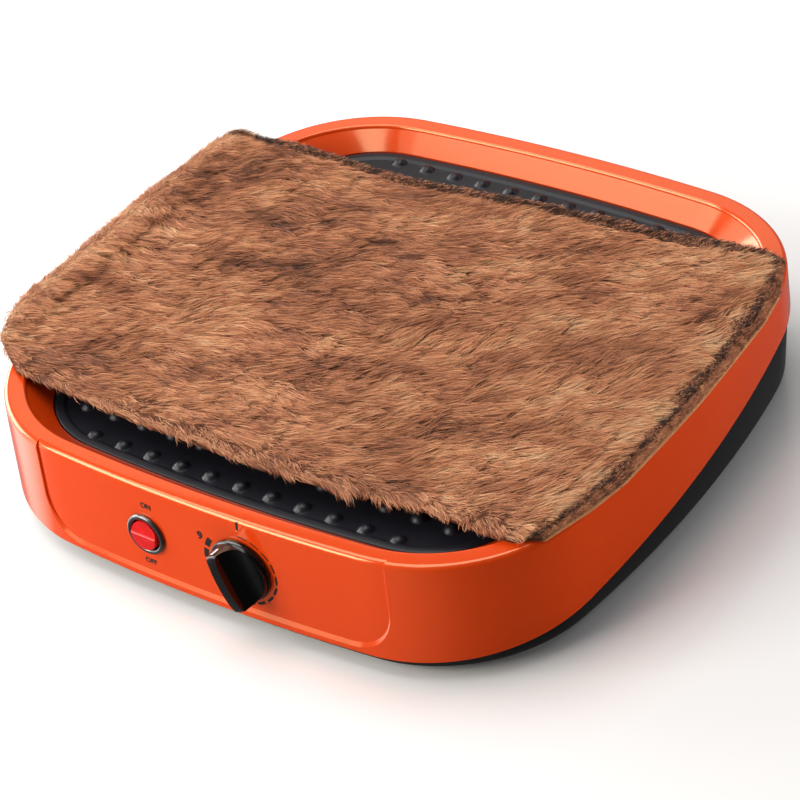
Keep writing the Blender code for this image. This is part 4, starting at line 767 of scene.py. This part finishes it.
# %% [markdown]
# ## Printed marks
# The panel is printed in black: ON and OFF by the switch, and round the dial a row of
# dashes that thicken clockwise from low to high, with a number at each end. Ink has next
# to no thickness, so each mark is a thin slip laid on the panel's own curve.


# %% Marks
def on_wall(shape, lift=0.00006):
    """Lays flat marks, drawn as (x, z), on the panel's face."""
    for vert in shape.verts:
        grow = lean(vert.co.z) - RECESS
        vert.co.y = -front_wall_y(vert.co.x, grow) - lift
    thicken(shape, shape.faces[:], (0, 2 * lift, 0))
    return shape


def word(text, x, z, size):
    curve = bpy.data.curves.new("word", "FONT")
    curve.body, curve.size = text, size
    curve.align_x, curve.align_y = "CENTER", "CENTER"
    curve.offset = size * 0.035
    flat = linked("word", curve)
    graph = bpy.context.evaluated_depsgraph_get()
    shape = bmesh.new()
    shape.from_mesh(flat.evaluated_get(graph).to_mesh())
    bpy.data.objects.remove(flat, do_unlink=True)
    bmesh.ops.remove_doubles(shape, verts=shape.verts[:], dist=0.000005)
    stand = Matrix.Translation((x, 0, z)) @ Matrix.Rotation(math.pi / 2, 4, "X")
    bmesh.ops.transform(shape, matrix=stand, verts=shape.verts[:])
    return on_wall(shape)


for name, text, x, z, size in (
    ("mark_on", "ON", SWITCH_X + 0.0025, PLATE_Z + 0.0002, 0.0042),
    ("mark_off", "OFF", SWITCH_X - 0.0005, PLATE_Z - 0.0350, 0.0042),
    ("mark_low", "1", KNOB_X + 0.001, PLATE_Z + 0.0085, 0.0064),
    ("mark_high", "9", KNOB_X - 0.0232, PLATE_Z - 0.0055, 0.0064),
):
    finished(name, word(text, x, z, size), PRINT, "housing", sharp=60)
dashes = bmesh.new()
DASHES = 15
for i in range(DASHES):
    share = i / (DASHES - 1)
    thick = 0.0005 + 0.0024 * share**1.2
    start = math.radians(88 - 288 * share)
    pair = []
    for radius in (0.0195, 0.0195 + thick):
        pair.append(
            dashes.verts.new((radius * math.cos(start), 0, radius * math.sin(start)))
        )
    bmesh.ops.spin(
        dashes, geom=pair + [dashes.edges.new(pair)], cent=(0, 0, 0), axis=(0, 1, 0),
        angle=math.radians(15), steps=6,
    )
bmesh.ops.translate(dashes, verts=dashes.verts[:], vec=(KNOB_X, 0, CONTROL_Z))
finished("dial_dashes", on_wall(dashes), PRINT, "housing", sharp=60)

# %% [markdown]
# ## Rubber pieces
# The feet and the cord gland are small rubber turnings. They are spun finer than their
# solids, because the view from below and behind looks straight at them.

# %% Feet and gland
foot_profile = [(0.0, 0.0088), (0.003, 0.0088), (0.0045, 0.0058), (0.003, 0.0058)]
foot_profile += [(0.003, 0.0027), (0.0088, 0.0027), (0.009, 0.0024)]
foot_profile += [(0.009 - inward, down) for inward, down in rounded(0.001, 4)]
foot_profile += [(0.0045, 0.0), (0.004, 0.0004), (0.0, 0.0004)]
for i, (x, y) in enumerate(CORNERS, 1):
    finished(
        f"foot_{i}", spun(foot_profile, 40), RUBBER, "housing", [f"rubber_foot_{i}"],
        place=Matrix.Translation((FOOT_SPOT * x, FOOT_SPOT * y, 0)),
    )

gland_profile = [(0.0034, 0.0033), (0.0038, 0.0035), (0.0052, 0.0035), (0.0060, 0.0028)]
gland_profile += [(0.0078, 0.0023), (0.0082, 0.0018), (0.0082, 0.0003), (0.0055, 0.0003)]
gland_profile += [(0.0055, -0.0028), (0.0066, -0.0028), (0.0055, -0.0048), (0.0034, -0.0048)]
finished(
    "gland", spun(gland_profile, 40), RUBBER, "housing", ["cord_gland"],
    place=GLAND, sharp=40,
)

# %% [markdown]
# ## Finishes for the solids that stay
# The working parts inside keep their solids. They only need their real materials.

# %% Assign finishes
INSIDE = (
    (STEEL, "base_screw plate_screw cutout_clip reflector_pan thermostat_nut thermostat_shaft"),
    (BRASS, "switch_blade thermostat_bush thermostat_tab"), (FOIL, "heat_spreader_foil"),
    (BROWN_WIRE, "live_lead switched_lead cutout_lead element_lead"), (FELT, "insulation_felt"),
    (BLUE_WIRE, "return_lead lamp_lead"), (CERAMIC, "thermal_cutout thermostat_body"),
    (RUBBER, "cord_gland rubber_foot"), (SEAL, "plate_seal"), (SLEEVE, "heating_element"),
    (LAMP, "switch_lamp"), (NYLON, "terminal_block"), (BLACK, "fur_cover base_tray"),
    (KNOB_BLACK, "control_knob"), (LENS, "switch_rocker"), (BEZEL, "switch_body"),
    (ORANGE, "top_shell"), (COATING, "foot_plate"),
)
for finish, starts in INSIDE:
    for name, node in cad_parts.items():
        if name.startswith(tuple(starts.split())):
            node.data.materials.clear()
            node.data.materials.append(finish)
print("solids with finishes:", sum(bool(n.data.materials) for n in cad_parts.values()))

# %% [markdown]
# ## The fur cover
# The cover is a thin foam mat with a long brown pile on top and a narrow dark hem at its
# right and back edges. It lies on the rim, a little too far to the left, and sinks
# slightly where nothing holds it over the well. Its outline is four gentle curves, and a
# patch between them gives every point of the mat, for the mat and for the pile alike.


# %% Cover outline
FRONT = ((-176, -110), (-151, -127), (-121, -128), (-63, -132), (-1, -134), (52, -132))
FRONT += ((87, -126), (111, -127), (150, -128), (163, -119))
BACK = ((-184, 106), (-156, 111), (-107, 112), (-75, 111), (-38, 115), (6, 118))
BACK += ((49, 120), (110, 123), (159, 124))
LEFT = ((-176, -110), (-186, -84), (-190, -68), (-194, -55), (-191, -43), (-194, -23))
LEFT += ((-192, -5), (-192, 2), (-195, 10), (-193, 29), (-193, 51), (-190, 77))
LEFT += ((-186, 98), (-184, 106))
RIGHT = ((163, -119), (171, -91), (175.2, -67), (176.7, -22), (177, 4), (176, 34))
RIGHT += ((174.2, 73), (170.3, 97), (159, 124))


def along(curve, share):
    """Points at those shares of a curve's length."""
    points = np.array(curve) * 0.001
    steps = np.linalg.norm(np.diff(points, axis=0), axis=1)
    reach = np.concatenate([[0], np.cumsum(steps)]) / steps.sum()
    return np.stack([np.interp(share, reach, points[:, k]) for k in (0, 1)], axis=-1)


def patch(u, v):
    """Points in plan between the four edges, for u left to right and v front to back."""
    u, v = np.asarray(u, float), np.asarray(v, float)
    a, b = u[..., None], v[..., None]
    sides = (1 - b) * along(FRONT, u) + b * along(BACK, u)
    sides += (1 - a) * along(LEFT, v) + a * along(RIGHT, v)
    corners = (1 - a) * (1 - b) * np.array(FRONT[0]) + a * (1 - b) * np.array(FRONT[-1])
    corners += (1 - a) * b * np.array(BACK[0]) + a * b * np.array(BACK[-1])
    return sides - corners * 0.001


def eased(value):
    value = np.clip(value, 0, 1)
    return value * value * (3 - 2 * value)


def waves(x, y, size, seed):
    """Smooth noise between -1 and 1 whose bumps are about `size` metres wide."""
    table = np.random.default_rng(seed).uniform(-1, 1, (64, 64))
    x, y = x / size + 31.7, y / size + 29.3
    i, j = np.floor(x).astype(int), np.floor(y).astype(int)
    a, b = eased(x - i), eased(y - j)
    near = table[i % 64, j % 64] * (1 - a) + table[(i + 1) % 64, j % 64] * a
    far = table[i % 64, (j + 1) % 64] * (1 - a) + table[(i + 1) % 64, (j + 1) % 64] * a
    return near * (1 - b) + far * b


MAT_THICKNESS = 0.0034
SPAN_X, SPAN_Y = 0.36, 0.25
MAT_TOP = cover_low.z + MAT_THICKNESS


def right_edge(y):
    """Where the mat ends on the right."""
    points = np.array(RIGHT) * 0.001
    return np.interp(y, points[:, 1], points[:, 0])


def mat_height(x, y):
    """The top of the mat: held up on the rim, sagging in the well, drooping at both sides."""
    inside = eased((0.150 - abs(x)) / 0.07) * eased((0.158 - abs(y)) / 0.05)
    over = np.clip((-0.184 - x) / 0.014, 0, 1)
    ripple = 0.0009 * waves(x, y, 0.045, 3) * eased((0.150 - abs(x)) / 0.02)
    crest = (0.0026 + 0.0018 * waves(x, y, 0.028, 4)) * np.exp(-(((x + 0.182) / 0.009) ** 2))
    sink = 0.0018 * eased((x - right_edge(y)) / 0.010 + 1)
    return MAT_TOP - 0.0032 * inside - 0.0050 * over**1.5 + ripple + crest - sink


corner_spots = patch(np.array([0, 1, 1, 0.0]), np.array([0, 0, 1, 1.0]))
print("cover corners in mm:", np.round(corner_spots * 1000).tolist())

# %% [markdown]
# The mat is two grids laid over the patch, a top and a bottom, with their borders bridged.
# Its edges are pulled down a little, so that it ends in a soft roll, and it is thinnest at
# the right, where the pale skin side shows as a narrow line.

# %% Mat
mat = bmesh.new()
bare = mat.verts.layers.float.new("bare")
for is_top in (True, False):
    made = bmesh.ops.create_grid(mat, x_segments=150, y_segments=78, size=0.5)["verts"]
    shares = np.array([v.co[:2] for v in made]) + 0.5
    spots = patch(shares[:, 0], shares[:, 1])
    heights = mat_height(spots[:, 0], spots[:, 1])
    for vert, (x, y), z, (u, v) in zip(made, spots, heights, shares):
        edge = min(u, 1 - u, (v * 0.7), (1 - v) * 0.7) * SPAN_X
        thick = MAT_THICKNESS * (0.34 + 0.56 * float(eased((1 - u) * SPAN_X / 0.009)))
        roll = 0.0016 * (1 - min(1, edge / 0.005)) ** 2
        vert.co = (x, y, z - roll if is_top else z - thick - roll * (u > 0.9))
        vert[bare] = float(u > 0.997)
border = [e for e in mat.edges if e.is_boundary]
bmesh.ops.bridge_loops(mat, edges=border)
backing = Finish("fur_backing", Roughness=0.9, Specular_IOR_Level=0.1)
weave = backing.node("ShaderNodeTexVoronoi", None, {"Vector": backing.place(), "Scale": 900.0})
tan = backing.blend(backing.cloud(60), (0.62, 0.26, 0.10), (0.80, 0.40, 0.18))
bare_share = backing.node("ShaderNodeAttribute", {"attribute_name": "bare"}, output="Fac")
skin_side = backing.blend(bare_share, (0.11, 0.040, 0.021), tan)
backing.feed("Base Color", backing.blend(0.4 * weave, skin_side, (0.10, 0.04, 0.02)))
backing.bump(weave, 0.0002)
cover_mat = finished(
    "cover_mat", mat, backing.material, "cover", ["fur_cover"], sharp=60
)

# %% [markdown]
# ## The pile
# Long faux fur is brushed mostly one way, lies almost flat, and gathers in locks whose
# tips meet. Colour changes from lock to lock, from dark roots to pale tips. Each hair here
# is a narrow ribbon of five triangles. An operator per hair would take minutes, so the
# hairs are worked out together as arrays, from a seeded generator, and are the same in
# every run. They are split into seven meshes to keep each one light.


# %% Hair by the thousand
def hairs(name, u, v, length, rise, heading, tone, seed, hang=0.0):
    """One mesh of ribbons that grow from the mat at (u, v)."""
    dice = np.random.default_rng(seed)
    count = len(u)
    x, y = patch(u, v).T
    root = np.column_stack([x, y, mat_height(x, y) - 0.0004])
    lock = np.zeros((count, 2))
    for size, pull in ((0.0095, 0.55), (0.0042, 0.35)):
        wx = x + 0.6 * size * waves(x, y, 1.7 * size, seed % 7 + 11)
        wy = y + 0.6 * size * waves(x, y, 1.7 * size, seed % 7 + 12)
        cell = np.stack([np.floor(wx / size), np.floor(wy / size)], axis=-1)
        column, row = cell[:, 0], cell[:, 1]
        shift = np.stack([waves(column, row, 0.37, 21), waves(column, row, 0.41, 22)], -1)
        lock += pull * ((cell + 0.5 + 0.4 * shift) * size - np.stack([x, y], -1))
    grip = np.clip((length - 0.003) / 0.005, 0, 1)
    turn = heading + dice.normal(0, 0.12, count)
    forward = np.column_stack([np.cos(turn), np.sin(turn), np.zeros(count)])
    side = np.column_stack([-np.sin(turn), np.cos(turn), np.zeros(count)])
    bend = dice.normal(0, 0.0009, count) + 0.0012 * waves(x, y, 0.012, 31)
    steps = np.array([0.0, 0.34, 0.70, 1.0])
    line = []
    for t in steps:
        point = root + forward * (length * t)[:, None]
        point[:, :2] += lock * grip[:, None] * t**1.4
        point += side * (bend * math.sin(math.pi * t))[:, None]
        point[:, 2] += length * rise * (t - 0.66 * t * t) - hang * length * t * t
        line.append(point)
    roll = dice.normal(0, 0.45, count)
    across = side * np.cos(roll)[:, None]
    across[:, 2] += np.sin(roll)
    width = dice.uniform(0.00022, 0.00040, count)[:, None]
    verts = np.empty((count, 7, 3), np.float32)
    for k, taper in ((0, 0.8), (1, 1.0), (2, 0.7)):
        verts[:, 2 * k] = line[k] - across * width * taper / 2
        verts[:, 2 * k + 1] = line[k] + across * width * taper / 2
    verts[:, 6] = line[3]
    verts += np.array(MIDDLE, np.float32)
    base = (np.arange(count) * 7)[:, None]
    quads = np.array([0, 1, 3, 2, 2, 3, 5, 4])
    faces = np.concatenate([base + quads, base + np.array([4, 5, 6])], axis=1)
    data = bpy.data.meshes.new(name)
    data.vertices.add(count * 7)
    data.vertices.foreach_set("co", verts.ravel())
    data.loops.add(count * 11)
    data.loops.foreach_set("vertex_index", faces.astype(np.int32).ravel())
    data.polygons.add(count * 3)
    starts = (np.arange(count) * 11)[:, None] + np.array([0, 4, 8])
    data.polygons.foreach_set("loop_start", starts.astype(np.int32).ravel())
    data.update(calc_edges=True)
    data.shade_smooth()
    shares = np.tile([0, 0, 0.34, 0.34, 0.7, 0.7, 1], count)
    for kind, values in (("tone", np.repeat(tone, 7)), ("reach", shares)):
        layer = data.attributes.new(kind, "FLOAT", "POINT")
        layer.data.foreach_set("value", values.astype(np.float32))
    data.materials.append(PILE)
    obj = linked(name, data)
    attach(obj, "cover")


# %% Pile finish
pile = Finish("fur_pile", Roughness=0.50, Specular_IOR_Level=0.20, Sheen_Weight=0.05)
tone = pile.node("ShaderNodeAttribute", {"attribute_name": "tone"}, output="Fac")
reach = pile.node("ShaderNodeAttribute", {"attribute_name": "reach"}, output="Fac")
stops = (
    (0.0, (0.025, 0.013, 0.011)), (0.22, (0.31, 0.105, 0.048)), (0.50, (0.68, 0.26, 0.118)),
    (0.75, (0.93, 0.44, 0.21)), (1.0, (1.0, 0.63, 0.35)),
)
hue = pile.node("ShaderNodeValToRGB", {"stops": stops}, {"Fac": tone})
speckle = pile.cloud(2500, 1)
rooted = (1 - reach) * 0.62 + 0.10 * speckle
pile.feed("Base Color", pile.blend(rooted, hue, (0.10, 0.036, 0.019)))
PILE = pile.material


# %% [markdown]
# The pile is brushed to the right, and turns from nearly level at the left to slanting at
# the right. Close to the front it hangs over the edge. At the left the edge is rolled down,
# and the last hairs run along it.

# %% Grow the pile
def heading_at(x, y):
    turn = np.radians(12 + 30 * (x + 0.19) / 0.36)
    turn += 0.38 * waves(x, y, 0.036, 41) + 0.22 * waves(x, y, 0.014, 42)
    front = eased((-0.112 - y) / 0.016)
    turn = turn * (1 - front) + (np.radians(-24) + 0.3 * waves(x, y, 0.012, 43)) * front
    left = eased((-0.182 - x) / 0.008)
    return turn * (1 - left) + (np.radians(68) + 0.5 * waves(x, y, 0.016, 44)) * left


def tone_at(x, y, dice):
    along_x, along_y = x * 0.92 + y * 0.38, -x * 0.38 + y * 0.92
    tone = 0.53 + 0.20 * waves(along_x * 0.6, along_y, 0.022, 51) + 0.45 * (x - y * 0.2)
    tone += 0.15 * waves(along_x * 0.5, along_y, 0.0075, 52)
    tone += 0.17 * waves(along_x * 0.5, along_y, 0.0030, 53)
    # Along the crest of the rolled left edge the tone rises and falls in patches: painted
    # highlight where the roll catches the light, and painted shade in its folds.
    tone += 0.24 * np.exp(-(((x + 0.170) / 0.010) ** 2)) * (0.3 + waves(x, y, 0.026, 54))
    return np.clip(tone + dice.normal(0, 0.13, len(x)), 0, 1)


def hem_tone(x, y, to_right, to_back, dice):
    """A pressed seam, dark in patches, with a band of plain short pile outside it."""
    count = len(x)
    dark = dice.uniform(0, 1, count) < 0.64 + 0.34 * waves(x, y, 0.006, 56)
    speckled = np.where(dark, 0.0, dice.uniform(0.25, 0.60, count))
    plain = 0.38 + 0.24 * waves(x, y, 0.004, 57) + dice.normal(0, 0.12, count)
    return np.clip(np.where((to_right < 0.0052) & (to_back > 0.006), plain, speckled), 0, 1)


STRIPS, PER_STRIP = 5, 38500
for strip in range(STRIPS):
    dice = np.random.default_rng(100 + strip)
    u = (strip + dice.uniform(0, 1, PER_STRIP)) / STRIPS * 0.996
    v = dice.uniform(0.0, 0.994, PER_STRIP)
    x, y = patch(u, v).T
    to_right, to_back = (1 - u) * SPAN_X, (1 - v) * SPAN_Y
    hem = np.maximum(eased((0.0095 - to_right) / 0.002), eased((0.0070 - to_back) / 0.002))
    rolled = eased((-0.180 - x) / 0.008)
    length = dice.uniform(0.007, 0.0135, PER_STRIP) * (1 + 0.2 * waves(x, y, 0.02, 61))
    length *= 1 - 0.35 * np.maximum(rolled, eased((-0.112 - y) / 0.016))
    length = np.minimum(length, np.maximum(to_right - 0.0085, 0.0024) * 1.1)
    length = np.minimum(length, np.maximum(to_back - 0.0065, 0.0024) * 1.8)
    rise = dice.uniform(0.16, 0.50, PER_STRIP) * (1 - 0.4 * rolled) + 0.9 * hem
    tone = tone_at(x, y, dice) + 0.22 * eased((0.036 - to_right) / 0.02)
    tone = np.where(hem > 0.5, hem_tone(x, y, to_right, to_back, dice), np.clip(tone, 0, 1))
    hang = 0.25 * np.maximum(1.3 * eased((-0.120 - y) / 0.012), rolled)
    heading = heading_at(x, y)
    hairs(f"pile_{strip + 1}", u, v, length, rise, heading, tone, 200 + strip, hang)

# %% The fluffed crest along the left edge
RUFF = 30000
dice = np.random.default_rng(107)
u, v = 0.062 * dice.uniform(0, 1, RUFF) ** 1.5, dice.uniform(0.0, 0.99, RUFF)
x, y = patch(u, v).T
length = dice.uniform(0.0030, 0.0062, RUFF)
rise = dice.uniform(0.25, 0.70, RUFF) * (1 - 0.7 * eased((-0.188 - x) / 0.006))
heading = heading_at(x, y) + dice.normal(0, 0.7, RUFF)
# The hairs on the crest are made paler still: painted highlight where the roll catches the light.
tone = np.clip(tone_at(x, y, dice) + 0.22 * np.exp(-(((x + 0.180) / 0.007) ** 2)), 0, 1)
hairs("pile_ruff", u, v, length, rise, heading, tone, 207, 0.2 * eased((-0.184 - x) / 0.006))

# %% The short pile of the hem
HEM = 36000
dice = np.random.default_rng(109)
on_right = dice.uniform(0, 1, HEM) < 0.55
u = np.where(on_right, dice.uniform(0.9735, 0.9985, HEM), dice.uniform(0, 0.996, HEM))
v = np.where(on_right, dice.uniform(0, 0.994, HEM), dice.uniform(0.972, 0.996, HEM))
x, y = patch(u, v).T
to_right, to_back = (1 - u) * SPAN_X, (1 - v) * SPAN_Y
tone = hem_tone(x, y, to_right, to_back, dice)
length, rise = dice.uniform(0.0014, 0.0028, HEM), dice.uniform(0.6, 1.5, HEM)
length = np.minimum(length, 0.0008 + 0.7 * to_right)
heading = heading_at(x, y) + dice.normal(0, 0.6, HEM)
hairs("pile_hem", u, v, length, rise, heading, tone, 209)
print("hairs:", STRIPS * PER_STRIP + RUFF + HEM)

# %% [markdown]
# ## Floor and room
# A wide, plain, pale floor. It doesn't show in the plastic's gloss: there the room behind
# it takes its place, which is dark to the right and bright to the left.

# %% Floor
FLOOR_HALF = 6
ground = bmesh.new()
bmesh.ops.create_grid(ground, x_segments=1, y_segments=1, size=FLOOR_HALF)
floor = linked("floor", mesh_of("floor", ground))
paper = Finish("floor", Roughness=0.18, Specular_IOR_Level=0.35)
paper.feed("Base Color", paper.blend(paper.cloud(3), (0.86, 0.86, 0.86), (0.90, 0.90, 0.90)))
floor.data.materials.append(paper.material)
floor.visible_glossy = False
print("floor is", 2 * FLOOR_HALF, "m wide")

# %% Room
world = bpy.data.worlds.new("studio")
world.use_nodes = True
room, wires = world.node_tree.nodes, world.node_tree.links
where, fall = room.new("ShaderNodeTexCoord"), room.new("ShaderNodeVectorMath")
level = room.new("ShaderNodeValToRGB")
fall.operation, fall.inputs[1].default_value = "DOT_PRODUCT", (-0.50, 0.0, 0.0)
wires.new(where.outputs["Generated"], fall.inputs[0])
share_up = room.new("ShaderNodeMath")
share_up.inputs[1].default_value = 0.5
wires.new(fall.outputs["Value"], share_up.inputs[0])
wires.new(share_up.outputs["Value"], level.inputs["Fac"])
steps = ((0.15, 0.03), (0.25, 0.05), (0.50, 0.19), (0.80, 0.20), (0.88, 0.36), (0.91, 1.80))
set_stops(level.color_ramp, [(place, (glow, glow, glow)) for place, glow in steps])
wires.new(level.outputs["Color"], room["Background"].inputs["Color"])
room["Background"].inputs["Strength"].default_value = 1.0
bpy.context.scene.world = world
print("room steps:", len(steps))
